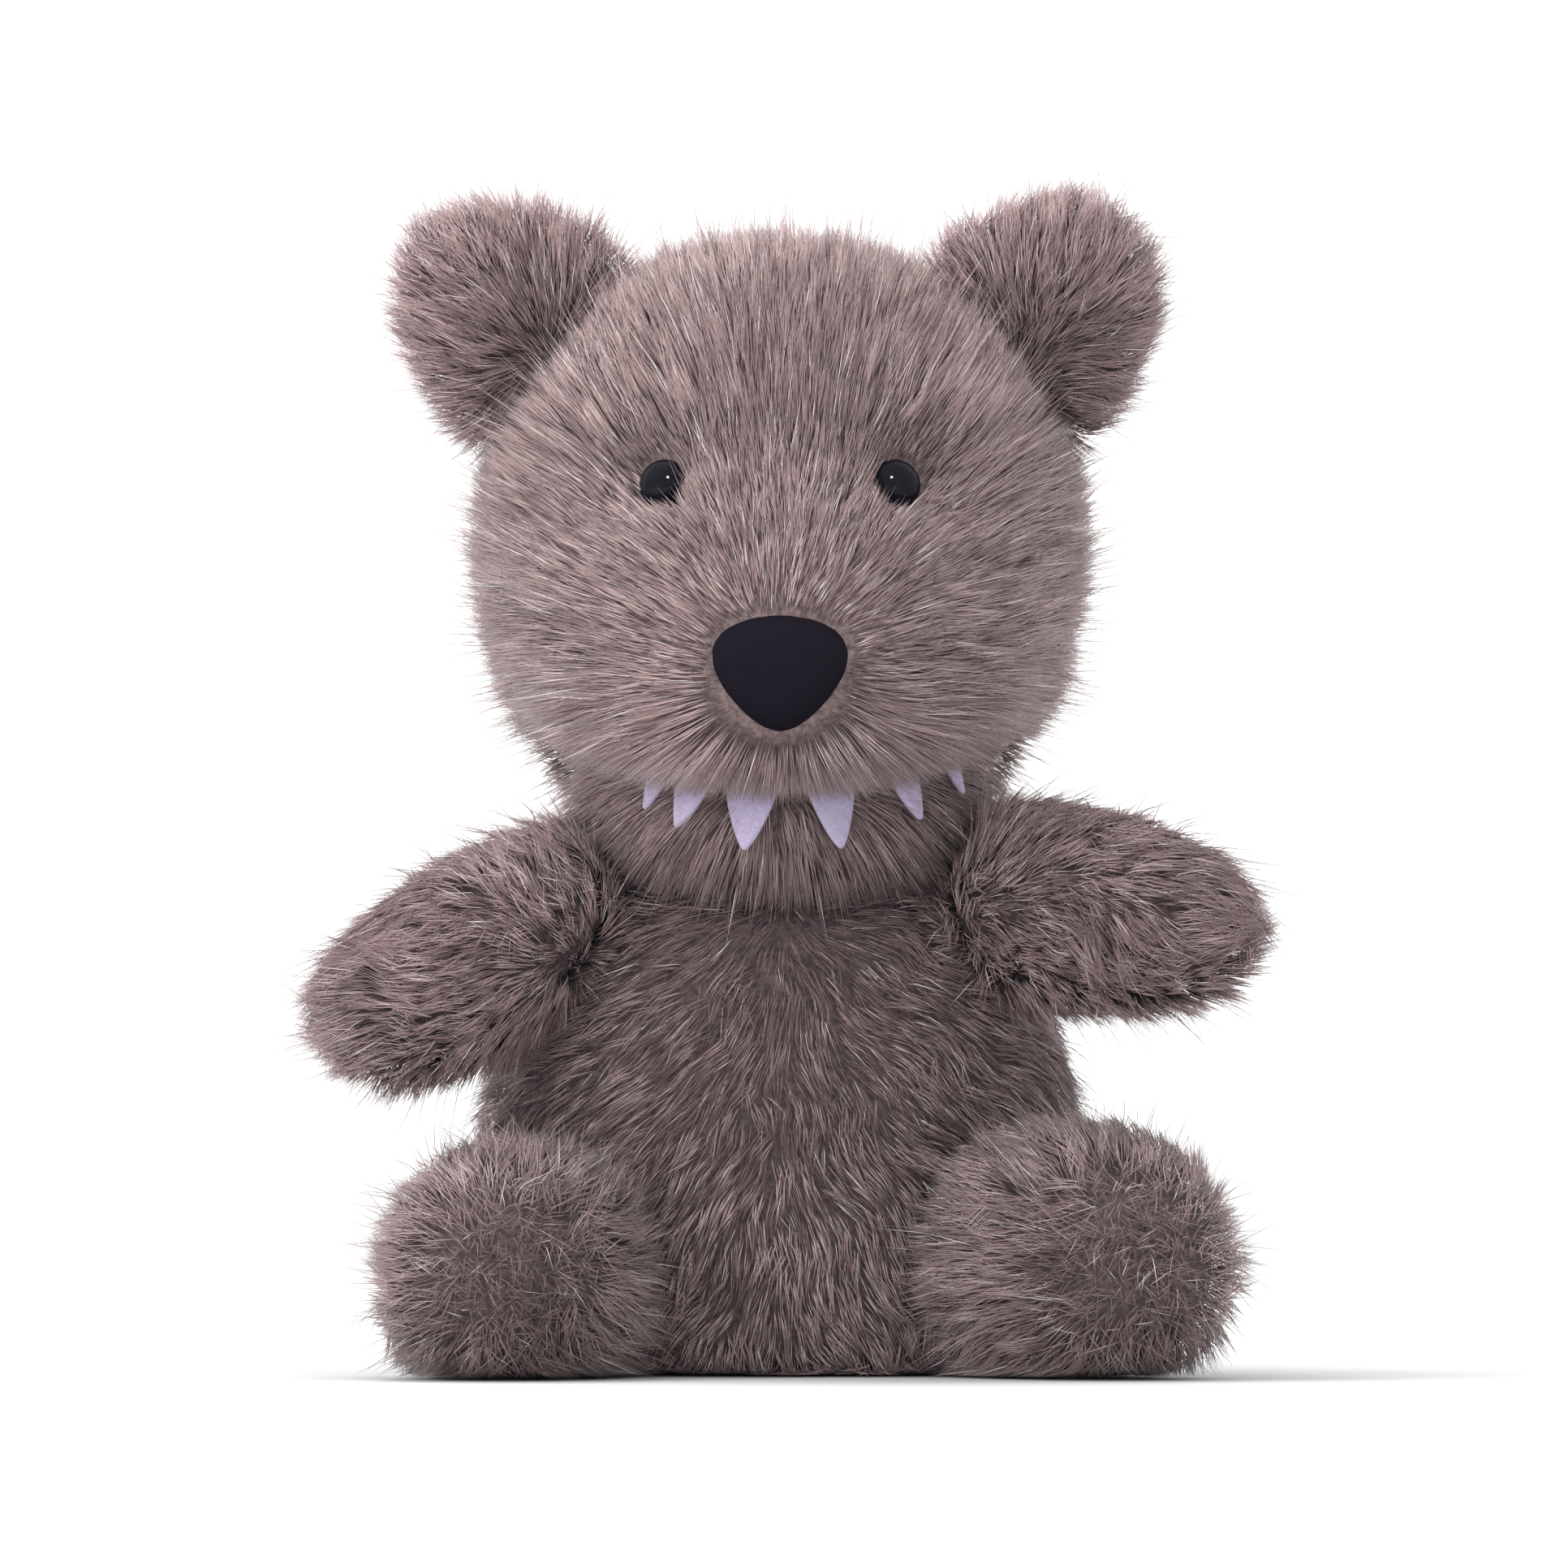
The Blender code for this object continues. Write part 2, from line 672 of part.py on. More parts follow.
def add_arms(shoulders, head, jaw, collection):
    """Arms that reach forward below the head and beside the jaw."""
    ways = {"right": heading(SIDES["right"], RIGHT_ARM_FORWARD, RIGHT_ARM_DROOP),
            "left": heading(SIDES["left"], LEFT_ARM_FORWARD, LEFT_ARM_DROOP)}
    lengths = {"right": RIGHT_ARM_LENGTH, "left": LEFT_ARM_LENGTH}
    arms = []
    for name, way in ways.items():
        side = SIDES[name]
        clear = [opposite(support_seam(head, heading(side, 0, ARM_BELOW_HEAD))),
                 opposite(support_seam(jaw, heading(side, 0, ARM_BESIDE_JAW)))]
        arm = limb_form(shoulders[name], way, lengths[name], ARM_ROOT, ARM_WIDTH, ARM_HEIGHT,
                        ARM_SWELL, (ARM_AROUND, ARM_ALONG))
        for seam in clear:
            cut(arm, seam)
        grow_locks(arm, shoulders[name].point, [opposite(shoulders[name]), *clear])
        arms.append(furry(f"arm_{name}", arm, shoulders[name].point, LIMB_FUR, collection))
    return arms


def add_legs(hips, collection):
    """Legs that lie on the floor, with their pile lying back from the soles."""
    spreads = {"right": RIGHT_LEG_SPREAD, "left": LEFT_LEG_SPREAD}
    heights = {"right": RIGHT_LEG_HEIGHT, "left": LEFT_LEG_HEIGHT}
    legs = []
    for name, side in SIDES.items():
        way = heading(side, pi / 2 - spreads[name], 0)
        leg = limb_form(hips[name], way, LEG_LENGTH, LEG_ROOT, LEG_WIDTH, heights[name], LEG_SWELL,
                        (LEG_AROUND, LEG_ALONG))
        cut(leg, FLOOR)
        sole = hips[name].point + way * LEG_LENGTH
        grow_locks(leg, sole, [opposite(hips[name]), FLOOR])
        legs.append(furry(f"leg_{name}", leg, hips[name].point, LIMB_FUR, collection))
    return legs


def add_tail(rump, collection):
    """A short tail that lies on the floor."""
    way = Vector((0, cos(TAIL_DROOP), -sin(TAIL_DROOP)))
    tail = limb_form(rump, way, TAIL_LENGTH, TAIL_ROOT, TAIL_WIDTH, TAIL_WIDTH, TAIL_SWELL,
                     (TAIL_AROUND, TAIL_ALONG))
    cut(tail, FLOOR)
    grow_locks(tail, rump.point, [opposite(rump), FLOOR])
    return furry("tail", tail, rump.point, BODY_FUR, collection)


def add_ears(seams, collection):
    """Both ears, with their pile lying towards their tips."""
    rakes = {"right": RIGHT_EAR_RAKE, "left": LEFT_EAR_RAKE}
    ears = []
    for name, side in SIDES.items():
        ear = ear_form(seams[name], side, rakes[name])
        grow_locks(ear, seams[name].point, [opposite(seams[name])])
        ears.append(furry(f"ear_{name}", ear, seams[name].point, LIMB_FUR, collection))
    return ears


def add_eyes(seams, collection):
    """Both eyes, each with the washer that holds it."""
    pieces = []
    for name, seam in seams.items():
        eye = turned(f"eye_{name}", eye_profile(), facing(seam), collection)
        finish(eye, EYE_PLASTIC, GLOSS_ROUGHNESS)
        washer = turned(f"eye_washer_{name}", washer_profile(), facing(seam), collection)
        finish(washer, WASHER_PLASTIC, WASHER_ROUGHNESS)
        pieces += [eye, washer]
    return pieces


def add_nose(snout, collection):
    """The padded nose on its flat."""
    nose = piece_from("nose", nose_form(), Vector((0, 0, 0)), collection)
    nose.matrix_world = facing(snout)
    finish(nose, NOSE_CLOTH, CLOTH_ROUGHNESS)
    return nose


def build():
    """Makes every piece and centres the wolf over its box."""
    clear_scene()
    wolf = new_collection("plush_wolf")
    cutters = new_collection("cutters")

    body = round_form(BODY_ROWS, body_point)
    head = round_form(HEAD_ROWS, head_point)
    shoulders = shoulder_seams(body)
    hips = hip_seams(body)
    rump = seam_on(body, UP * TAIL_HEIGHT, -FORWARD, TAIL_SEAT_DEPTH)
    ears = ear_seams(head)
    eyes = {name: eye_seam(head, side) for name, side in SIDES.items()}
    snout = snout_seam(head)
    palate, throat = mouth_seams()

    jaw = jaw_form(head, palate, throat)
    grow_locks(jaw, snout.point, [opposite(palate), opposite(throat), opposite(NECK)])
    pieces = add_teeth(head, palate, wolf)
    head_seams = [snout, opposite(NECK), *ears.values()]
    head = carved_head(head, head_seams, (palate, throat), eyes, wolf, cutters)

    pieces += add_arms(shoulders, head, jaw, wolf)
    pieces += add_legs(hips, wolf)
    pieces += add_ears(ears, wolf)
    pieces += add_eyes(eyes, wolf)
    pieces.append(add_nose(snout, wolf))
    pieces.append(add_tail(rump, wolf))
    body_seams = [FLOOR, NECK, *shoulders.values(), *hips.values(), rump]
    pieces.append(add_body(body, body_seams, wolf))
    pieces.append(furry("head", head, HEAD_MIDDLE, FACE_FUR, wolf))
    pieces.append(furry("jaw", jaw, palate.point, FACE_FUR, wolf))
    centre(pieces, wolf)


def centre(pieces, collection):
    """Hangs every piece on an empty that puts the middle of the wolf's box over the origin."""
    bpy.context.view_layer.update()
    corners = [piece.matrix_world @ Vector(corner)
               for piece in pieces for corner in piece.bound_box]
    stand = bpy.data.objects.new("wolf", None)
    collection.objects.link(stand)
    for piece in pieces:
        piece.parent = stand
    stand.location.x = -(min(c.x for c in corners) + max(c.x for c in corners)) / 2
    stand.location.y = -(min(c.y for c in corners) + max(c.y for c in corners)) / 2


build()
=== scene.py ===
# %% [markdown]
# # A sitting plush wolf
#
# The real toy is a set of sewn bags of long-pile fur cloth, stuffed and stitched together:
# head, jaw, ears, body, arms, legs and tail. Two domed plastic eyes, a padded cloth nose and
# six felt teeth are set into it. The frame gives each of these pieces as a plain solid at its
# real size. This lesson dresses them: a cloth bag inside each furry piece, a coat of single
# hairs on each bag, and a finer surface on the hard and felt pieces.

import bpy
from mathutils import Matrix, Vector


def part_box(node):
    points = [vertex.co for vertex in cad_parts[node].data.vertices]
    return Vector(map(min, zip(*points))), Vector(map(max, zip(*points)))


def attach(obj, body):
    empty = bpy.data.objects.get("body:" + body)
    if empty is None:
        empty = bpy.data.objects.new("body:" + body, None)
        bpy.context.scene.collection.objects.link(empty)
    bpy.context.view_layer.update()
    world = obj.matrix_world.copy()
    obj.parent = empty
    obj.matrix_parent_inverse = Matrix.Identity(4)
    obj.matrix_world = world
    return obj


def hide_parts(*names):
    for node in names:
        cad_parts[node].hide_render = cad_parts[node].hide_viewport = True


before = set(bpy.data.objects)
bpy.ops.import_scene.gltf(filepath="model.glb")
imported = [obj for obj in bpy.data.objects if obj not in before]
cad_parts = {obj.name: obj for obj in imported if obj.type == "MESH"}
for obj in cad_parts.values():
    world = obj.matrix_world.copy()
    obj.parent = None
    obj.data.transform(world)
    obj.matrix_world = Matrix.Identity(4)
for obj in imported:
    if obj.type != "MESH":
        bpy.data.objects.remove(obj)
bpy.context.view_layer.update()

# %% Tools used below
from collections import namedtuple
from math import cos, exp, pi, radians, sin

import bmesh
import bpy
import numpy as np
from mathutils import Vector
from mathutils.bvhtree import BVHTree
from mathutils.kdtree import KDTree

BODY = "root"
SIDES = ("right", "left")

# %% [markdown]
# ## The camera
#
# The photograph is taken from straight ahead and a little above the feet, from far enough away
# that near and far parts keep nearly the same scale. A long lens does the same here. Its focal
# length follows from how wide the picture is at the wolf's middle.

# %% Camera
VIEW_WIDTH = 0.3024
VIEW_MIDDLE = Vector((0, 0, 0.1134))
CAMERA_PLACE = Vector((0, -2.4, 0.05))


def turned_to(place, target):
    """The turn that points a camera or a lamp at a target."""
    return (target - place).to_track_quat("-Z", "Y").to_euler()


lens = bpy.data.cameras.new("camera")
lens.lens = lens.sensor_width * (VIEW_MIDDLE - CAMERA_PLACE).length / VIEW_WIDTH
camera = bpy.data.objects.new("camera", lens)
camera.location = CAMERA_PLACE
camera.rotation_euler = turned_to(CAMERA_PLACE, VIEW_MIDDLE)
bpy.context.collection.objects.link(camera)
bpy.context.scene.camera = camera
print("Focal length", round(lens.lens), "mm")

# %% [markdown]
# ## Light
#
# A white studio lights the wolf from all around, so a white world does most of the work. A
# lamp at the wolf's right and one overhead give the fur its direction: pale on top, darker
# below. One in front opens the shadows. These three are hidden from reflections. A last lamp,
# which only reflects, puts the pinpoint of light in each eye and the silver on the hair.

# %% World and lamps
WORLD_STRENGTH = 1.25
SIDE_LAMP = {"place": Vector((-1.10, -0.80, 0.60)), "size": 0.60, "power": 13.0}
TOP_LAMP = {"place": Vector((-0.25, 0.20, 1.20)), "size": 0.50, "power": 10.0}
FILL_LAMP = {"place": Vector((0.30, -1.80, 0.22)), "size": 0.60, "power": 10.0}
GLINT_LAMP = {"place": Vector((-0.03, -1.30, 1.00)), "size": 0.22, "power": 18.0}

bpy.context.scene.view_settings.view_transform = "Standard"
world = bpy.data.worlds.new("white studio")
world.use_nodes = True
world.node_tree.nodes["Background"].inputs["Color"].default_value = (1, 1, 1, 1)
world.node_tree.nodes["Background"].inputs["Strength"].default_value = WORLD_STRENGTH
bpy.context.scene.world = world


def add_lamp(name, place, size, power):
    """A square soft lamp that points at the wolf."""
    light = bpy.data.lights.new(name, "AREA")
    light.size = size
    light.energy = power
    lamp = bpy.data.objects.new(name, light)
    lamp.location = place
    lamp.rotation_euler = turned_to(place, VIEW_MIDDLE)
    bpy.context.collection.objects.link(lamp)
    return lamp


add_lamp("side", **SIDE_LAMP).visible_glossy = False
add_lamp("top", **TOP_LAMP).visible_glossy = False
add_lamp("fill", **FILL_LAMP).visible_glossy = False
add_lamp("glint", **GLINT_LAMP).visible_diffuse = False
print("Four lamps and a world of strength", WORLD_STRENGTH)

# %% [markdown]
# ## Floor
#
# The wolf sits on a plain floor that runs on past the picture. One flat grid is enough for it.

# %% Floor
FLOOR_SIZE = 12.0


def object_from(name, form):
    """Turns a finished bmesh into an object at the origin."""
    mesh = bpy.data.meshes.new(name)
    form.to_mesh(mesh)
    form.free()
    piece = bpy.data.objects.new(name, mesh)
    bpy.context.collection.objects.link(piece)
    return piece


form = bmesh.new()
bmesh.ops.create_grid(form, x_segments=1, y_segments=1, size=FLOOR_SIZE / 2)
floor = object_from("floor", form)
print("The floor is", FLOOR_SIZE, "m wide")

# %% [markdown]
# ## Finishes
#
# Each finish is a small node network under a Principled shader. A pattern that lies in the
# material, such as a weave, reads the piece's own coordinates, so it stays put when the wolf is
# turned. What is the same all over, such as roughness, is set on the shader itself.

# %% Node helpers
def new_finish(name, roughness, **uniform):
    """A material with a Principled shader, and the shader's other uniform values."""
    material = bpy.data.materials.new(name)
    material.use_nodes = True
    shader = material.node_tree.nodes["Principled BSDF"]
    shader.inputs["Roughness"].default_value = roughness
    for label, value in uniform.items():
        shader.inputs[label.replace("_", " ")].default_value = value
    return material, shader


def add_node(material, kind, links=(), **values):
    """A node with its settings, inputs and incoming links."""
    node = material.node_tree.nodes.new(kind)
    for label, value in values.items():
        setattr(node, label, value)
    for label, source in dict(links).items():
        if isinstance(source, bpy.types.NodeSocket):
            material.node_tree.links.new(source, node.inputs[label])
        else:
            node.inputs[label].default_value = source
    return node


def add_ramp(material, source, stops):
    """A colour ramp through stops of (position, colour)."""
    ramp = add_node(material, "ShaderNodeValToRGB", {"Fac": source})
    points = ramp.color_ramp.elements
    while len(points) < len(stops):
        points.new(0.5)
    for point, (position, colour) in zip(points, stops):
        point.position = position
        point.color = (*colour, 1)
    return ramp.outputs["Color"]


def bump(material, shader, height, depth):
    """Raises a height pattern by a depth in metres."""
    node = add_node(material, "ShaderNodeBump", {"Height": height, "Distance": depth})
    material.node_tree.links.new(node.outputs["Normal"], shader.inputs["Normal"])


def grey(level):
    """A colour without hue."""
    return (level, level, level)


# %% [markdown]
# ## Floor finish
#
# A floor of one colour would meet the white world in a hard line. This one is a little darker
# under the wolf, a painted shadow, and paler with distance, so that it melts into the world. Its
# colour depends on the distance from the wolf's middle alone.

# %% Floor colour by distance
# Grey by distance from the wolf's middle; the dark stops close to it are a painted shadow.
FLOOR_GREYS_AND_PAINTED_SHADOW = [(0.09, 0.53), (0.13, 0.585), (0.90, 0.82)]

floor_finish, shader = new_finish("pale floor", 0.9)
spot = add_node(floor_finish, "ShaderNodeTexCoord")
distance = add_node(floor_finish, "ShaderNodeVectorMath", {0: spot.outputs["Object"]},
                    operation="LENGTH")
floor_grey_and_painted_shadow = add_ramp(floor_finish, distance.outputs["Value"],
                        [(reach, grey(level)) for reach, level in FLOOR_GREYS_AND_PAINTED_SHADOW])
floor_finish.node_tree.links.new(floor_grey_and_painted_shadow, shader.inputs["Base Color"])
floor.data.materials.append(floor_finish)
print("The floor's grey runs from", FLOOR_GREYS_AND_PAINTED_SHADOW[0][1], "to", FLOOR_GREYS_AND_PAINTED_SHADOW[-1][1])

# %% [markdown]
# ## Hair colour
#
# Every hair of the coat is dyed, but no two quite alike, and each is darker at its root: this is
# painted shade, for little light reaches there. A few hairs are pale and silky; they stand for the
# toy's pale hairs and are painted highlights as well. Each hair carries a map of its own: across
# it runs the hair's tint, and along it the way from root to tip. One material then dyes a whole
# coat, and what it paints depends on nothing else.

# %% Hair finish
HAIR_MAP = "OFBake"
TINTS = 48
PALE_AND_GLINT_FROM = 0.9
# Painted shade: the hair's colour is scaled down at its root and at its bend.
ROOT_PAINTED_SHADE, BEND_PAINTED_SHADE = 0.13, 0.72
# Dark, middle, light and pale colours by region. The coat is one cloth: the face and ears are paler
# and the body darker as painted light and shade, and the pale colour paints the hairs' highlights
# too.
HAIR_DYES_AND_PAINTED_LIGHT = {
    "face": ((0.17, 0.106, 0.108), (0.42, 0.286, 0.288), (0.70, 0.520, 0.520), (0.93, 0.86, 0.85)),
    "body": ((0.085, 0.050, 0.055), (0.30, 0.199, 0.205), (0.62, 0.443, 0.451), (0.86, 0.76, 0.76)),
    "limb": ((0.10, 0.060, 0.063), (0.325, 0.217, 0.220), (0.63, 0.458, 0.461), (0.86, 0.77, 0.77)),
    "ear": ((0.12, 0.074, 0.077), (0.41, 0.278, 0.282), (0.73, 0.540, 0.542), (0.88, 0.80, 0.80)),
}


def hair_finish(name, dark, middle, light, pale):
    """Hair whose colour follows its tint across the map and its length along it."""
    material, shader = new_finish(name, 0.5, Sheen_Weight=0.1, Sheen_Roughness=0.4)
    place = add_node(material, "ShaderNodeUVMap", uv_map=HAIR_MAP)
    parts = add_node(material, "ShaderNodeSeparateXYZ", {"Vector": place.outputs["UV"]})
    tint = add_ramp(material, parts.outputs["X"],
                    [(0.0, dark), (0.5, middle), (PALE_AND_GLINT_FROM - 0.02, light), (PALE_AND_GLINT_FROM, pale)])
    # Painted shade along each hair, darkest at the root.
    along = add_ramp(material, parts.outputs["Y"],
                     [(0.0, grey(ROOT_PAINTED_SHADE)), (0.5, grey(BEND_PAINTED_SHADE)), (1.0, grey(1.0))])
    dyed = add_node(material, "ShaderNodeMix", data_type="RGBA", blend_type="MULTIPLY")
    dyed.inputs["Factor"].default_value = 1.0
    colour_a, colour_b, result = dyed.inputs[6], dyed.inputs[7], dyed.outputs[2]
    material.node_tree.links.new(tint, colour_a)
    material.node_tree.links.new(along, colour_b)
    material.node_tree.links.new(result, shader.inputs["Base Color"])
    return material


hair = {name: hair_finish(f"{name} hair", *shades) for name, shades in HAIR_DYES_AND_PAINTED_LIGHT.items()}
print("Hair is dyed for the", ", ".join(hair))

# %% [markdown]
# ## The backing
#
# Pile is knitted into a backing cloth. It only shows between the roots, so a dark, mottled
# finish with a low bump does, in the colour of the short hair that lies on it. Its darkness is
# painted shade deep in the pile, and the face's backing is paler than the body's as painted light.

# %% Backing finish
MOTTLE_SCALE = 900.0
MOTTLE_DEPTH = 0.0006


def backing_finish(name, dark, light):
    """The knitted backing between the roots, mottled by the short hair that lies on it."""
    material, shader = new_finish(name, 0.95)
    spot = add_node(material, "ShaderNodeTexCoord")
    mottle = add_node(material, "ShaderNodeTexNoise",
                      {"Vector": spot.outputs["Object"], "Scale": MOTTLE_SCALE, "Detail": 3.0})
    colour = add_ramp(material, mottle.outputs["Fac"], [(0.3, dark), (0.7, light)])
    material.node_tree.links.new(colour, shader.inputs["Base Color"])
    bump(material, shader, mottle.outputs["Fac"], MOTTLE_DEPTH)
    return material


# Both are dark as painted shade in the pile; the face's is paler than the body's as painted light.
backings = {
    "face_fur": backing_finish("face backing", (0.10, 0.068, 0.070), (0.24, 0.170, 0.172)),
    "body_fur": backing_finish("body backing", (0.04, 0.026, 0.029), (0.12, 0.082, 0.085)),
}
print("Backings for", ", ".join(backings))

# %% [markdown]
# ## The cloth bags
#
# Under its pile each furry piece is a smooth bag that the stuffing rounds out. The frame's solid
# has coarse locks on it, so the bag is made from a copy: the copy is welded, remeshed into even
# squares, smoothed until the locks are gone, and drawn in by the depth of the pile. A pressure
# simulation would round it too, but the pile hides the cloth, so smoothing is enough.

# %% Bags
BAG_SQUARE = 0.0030
BAG_SMOOTHING = 10
PILE_DEPTH = 0.0016
WELD = 0.00005
FURRY = {"head": "face_fur", "jaw": "face_fur", "body": "body_fur",
         "ear_right": "body_fur", "ear_left": "body_fur",
         "arm_right": "body_fur", "arm_left": "body_fur",
         "leg_right": "body_fur", "leg_left": "body_fur", "tail": "body_fur"}


def mesh_of(piece):
    """A piece's mesh with its modifiers applied, as a bmesh."""
    form = bmesh.new()
    graph = bpy.context.evaluated_depsgraph_get()
    form.from_object(piece, graph)
    return form


def welded_copy(name, node):
    """A new piece with a node's mesh, its loose triangles joined."""
    form = bmesh.new()
    form.from_mesh(bpy.data.objects[node].data)
    bmesh.ops.remove_doubles(form, verts=form.verts[:], dist=WELD)
    return object_from(name, form)


def keep_largest(form):
    """Deletes every loose part but the largest."""
    unseen, parts = set(form.verts), []
    while unseen:
        part, edge_of_part = set(), [unseen.pop()]
        while edge_of_part:
            corner = edge_of_part.pop()
            part.add(corner)
            near = {edge.other_vert(corner) for edge in corner.link_edges} & unseen
            unseen -= near
            edge_of_part.extend(near)
        parts.append(part)
    parts.sort(key=len)
    smaller = [corner for part in parts[:-1] for corner in part]
    bmesh.ops.delete(form, geom=smaller, context="VERTS")


def make_bag(node, slot):
    """The cloth bag of one furry piece."""
    rough = welded_copy("rough", node)
    even = rough.modifiers.new("Even squares", "REMESH")
    even.mode = "VOXEL"
    even.voxel_size = BAG_SQUARE
    form = mesh_of(rough)
    bpy.data.objects.remove(rough)
    keep_largest(form)
    for _ in range(BAG_SMOOTHING):
        bmesh.ops.smooth_vert(form, verts=form.verts[:], factor=0.5,
                              use_axis_x=True, use_axis_y=True, use_axis_z=True)
    form.normal_update()
    for corner in form.verts:
        corner.co -= corner.normal * PILE_DEPTH
        corner.co.z = max(corner.co.z, WELD)
    bag = object_from(f"{node}_bag", form)
    bag.data.shade_smooth()
    bag.data.materials.append(backings[slot])
    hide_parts(node)
    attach(bag, BODY)
    print(f"{bag.name}: {len(bag.data.polygons)} squares")
    return bag


bags = {node: make_bag(node, slot) for node, slot in FURRY.items()}

# %% [markdown]
# ## The eyes
#
# A safety eye is a domed button of near-black plastic on a shank. The frame's button is turned
# in few steps, and its edge would show in the highlight. A spun profile gives a smooth one. Its
# place and axis are measured on the frame: the button and its washer share one axis.

# %% Measuring the eyes
EyePlace = namedtuple("EyePlace", "washer axis radius rim top bottom")
RIM_SHARE = 0.9


def corners_of(node):
    """A node's corners as an array."""
    mesh = bpy.data.objects[node].data
    found = np.empty(len(mesh.vertices) * 3, np.float32)
    mesh.vertices.foreach_get("co", found)
    return found.reshape(-1, 3).astype(float)


def measure_eye(side):
    """An eye's washer centre, axis and radius, and how high its rim, top and shank's end lie."""
    washer = corners_of(f"eye_washer_{side}").mean(0)
    corners = corners_of(f"eye_{side}")
    axis = corners.mean(0) - washer
    axis /= np.linalg.norm(axis)
    heights = (corners - washer) @ axis
    distances = np.linalg.norm(corners - washer - heights[:, None] * axis, axis=1)
    radius = distances.max()
    rim = heights[distances > RIM_SHARE * radius].min()
    return EyePlace(Vector(washer), Vector(axis), radius, rim, heights.max(), heights.min())


eye_places = {side: measure_eye(side) for side in SIDES}
for side, place in eye_places.items():
    print(f"The {side} eye is {2000 * place.radius:.1f} mm across")

# %% Eyes
EYE_STEPS = 64
DOME_STEPS = 16
RIM_THICKNESS_SHARE = 0.2
RIM_FOOT_SHARE = 0.97
SHANK_SHARE = 0.36
CLOUD_SCALE = 300.0


def make_eye(side, place, finish):
    """A domed button with a rounded rim, and its shank."""
    radius, rim = place.radius, place.rim
    thickness = (place.top - rim) * RIM_THICKNESS_SHARE
    shank = radius * SHANK_SHARE
    turns = [pi / 2 * step / DOME_STEPS for step in range(DOME_STEPS + 1)]
    profile = [(radius * sin(turn), rim + thickness + (place.top - rim - thickness) * cos(turn))
               for turn in turns]
    profile += [(radius * RIM_FOOT_SHARE, rim), (shank, rim)]
    profile += [(shank, place.bottom), (0, place.bottom)]
    form = bmesh.new()
    points = [form.verts.new((reach, 0, height)) for reach, height in profile]
    edges = [form.edges.new(pair) for pair in zip(points, points[1:])]
    bmesh.ops.spin(form, geom=points + edges, cent=(0, 0, 0), axis=(0, 0, 1),
                   angle=2 * pi, steps=EYE_STEPS, use_merge=True)
    bmesh.ops.remove_doubles(form, verts=form.verts[:], dist=WELD / 5)
    bmesh.ops.recalc_face_normals(form, faces=form.faces[:])
    turn = place.axis.to_track_quat("Z", "Y").to_matrix().to_4x4()
    turn.translation = place.washer
    bmesh.ops.transform(form, matrix=turn, verts=form.verts[:])
    eye = object_from(f"eye_{side}_button", form)
    eye.data.shade_smooth()
    eye.data.materials.append(finish)
    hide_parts(f"eye_{side}")
    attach(eye, BODY)
    return eye


eye_finish, shader = new_finish("eye plastic", 0.06, Specular_IOR_Level=0.11)
spot = add_node(eye_finish, "ShaderNodeTexCoord")
cloud = add_node(eye_finish, "ShaderNodeTexNoise",
                 {"Vector": spot.outputs["Object"], "Scale": CLOUD_SCALE})
eye_colour = add_ramp(eye_finish, cloud.outputs["Fac"],
                      [(0.3, (0.003, 0.003, 0.006)), (0.7, (0.006, 0.006, 0.011))])
eye_finish.node_tree.links.new(eye_colour, shader.inputs["Base Color"])
eyes = {side: make_eye(side, place, eye_finish) for side, place in eye_places.items()}
print("Each eye has", len(eyes["right"].data.polygons), "faces")

# %% [markdown]
# ## The eyes' hollows
#
# The washer behind the cloth pulls the button tight, and the cloth dents round it. The bag was
# smoothed right across that dent, so it is pressed in again: corners close to the eye's axis
# that stand above its rim go down to just over the rim, less and less with distance.

# %% Pressing the hollows
CLOTH_OVER_RIM = 0.0006
HOLLOW_SPREAD = 1.5


def press_hollow(bag, place):
    """Presses the cloth down round an eye, as its washer does."""
    for corner in bag.data.vertices:
        reach = corner.co - place.washer
        height = reach.dot(place.axis)
        distance = (reach - place.axis * height).length
        hollow = exp(-(distance / (place.radius * HOLLOW_SPREAD)) ** 4)
        if height > place.rim:
            corner.co -= place.axis * ((height - place.rim - CLOTH_OVER_RIM) * hollow)


for place in eye_places.values():
    press_hollow(bags["head"], place)
print("The cloth stands", 1000 * CLOTH_OVER_RIM, "mm over each eye's rim")

# %% [markdown]
# ## Nose
#
# The nose is a padded patch of black woven cloth with its edge turned under. It keeps the
# frame's shape: a welded copy is subdivided so that it curves smoothly. The weave is finer than
# any mesh, so two crossing waves in the material make its threads.

# %% Nose
THREAD = 0.00042
WAVES_PER_THREAD = 0.314


def softened(name, node, levels, finish):
    """A node's shape with rounder curves and a finish of its own."""
    piece = welded_copy(name, node)
    rounding = piece.modifiers.new("Rounding", "SUBSURF")
    rounding.levels = levels
    rounding.render_levels = levels
    piece.data.shade_smooth()
    piece.data.materials.append(finish)
    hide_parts(node)
    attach(piece, BODY)
    return piece


def woven_finish(name, dark, light, thread):
    """A plain weave: threads that run across and threads that run up."""
    material, shader = new_finish(name, 0.8, Specular_IOR_Level=0.08)
    spot = add_node(material, "ShaderNodeTexCoord")
    bands = []
    for way in ("X", "Z"):
        band = add_node(material, "ShaderNodeTexWave",
                        {"Vector": spot.outputs["Object"], "Scale": WAVES_PER_THREAD / thread,
                         "Distortion": 0.4, "Detail": 1.0},
                        bands_direction=way)
        bands.append(band.outputs["Fac"])
    weave = add_node(material, "ShaderNodeMath", {0: bands[0], 1: bands[1]}, operation="MULTIPLY")
    colour = add_ramp(material, weave.outputs[0], [(0.35, dark), (1.0, light)])
    material.node_tree.links.new(colour, shader.inputs["Base Color"])
    bump(material, shader, weave.outputs[0], thread / 3)
    return material


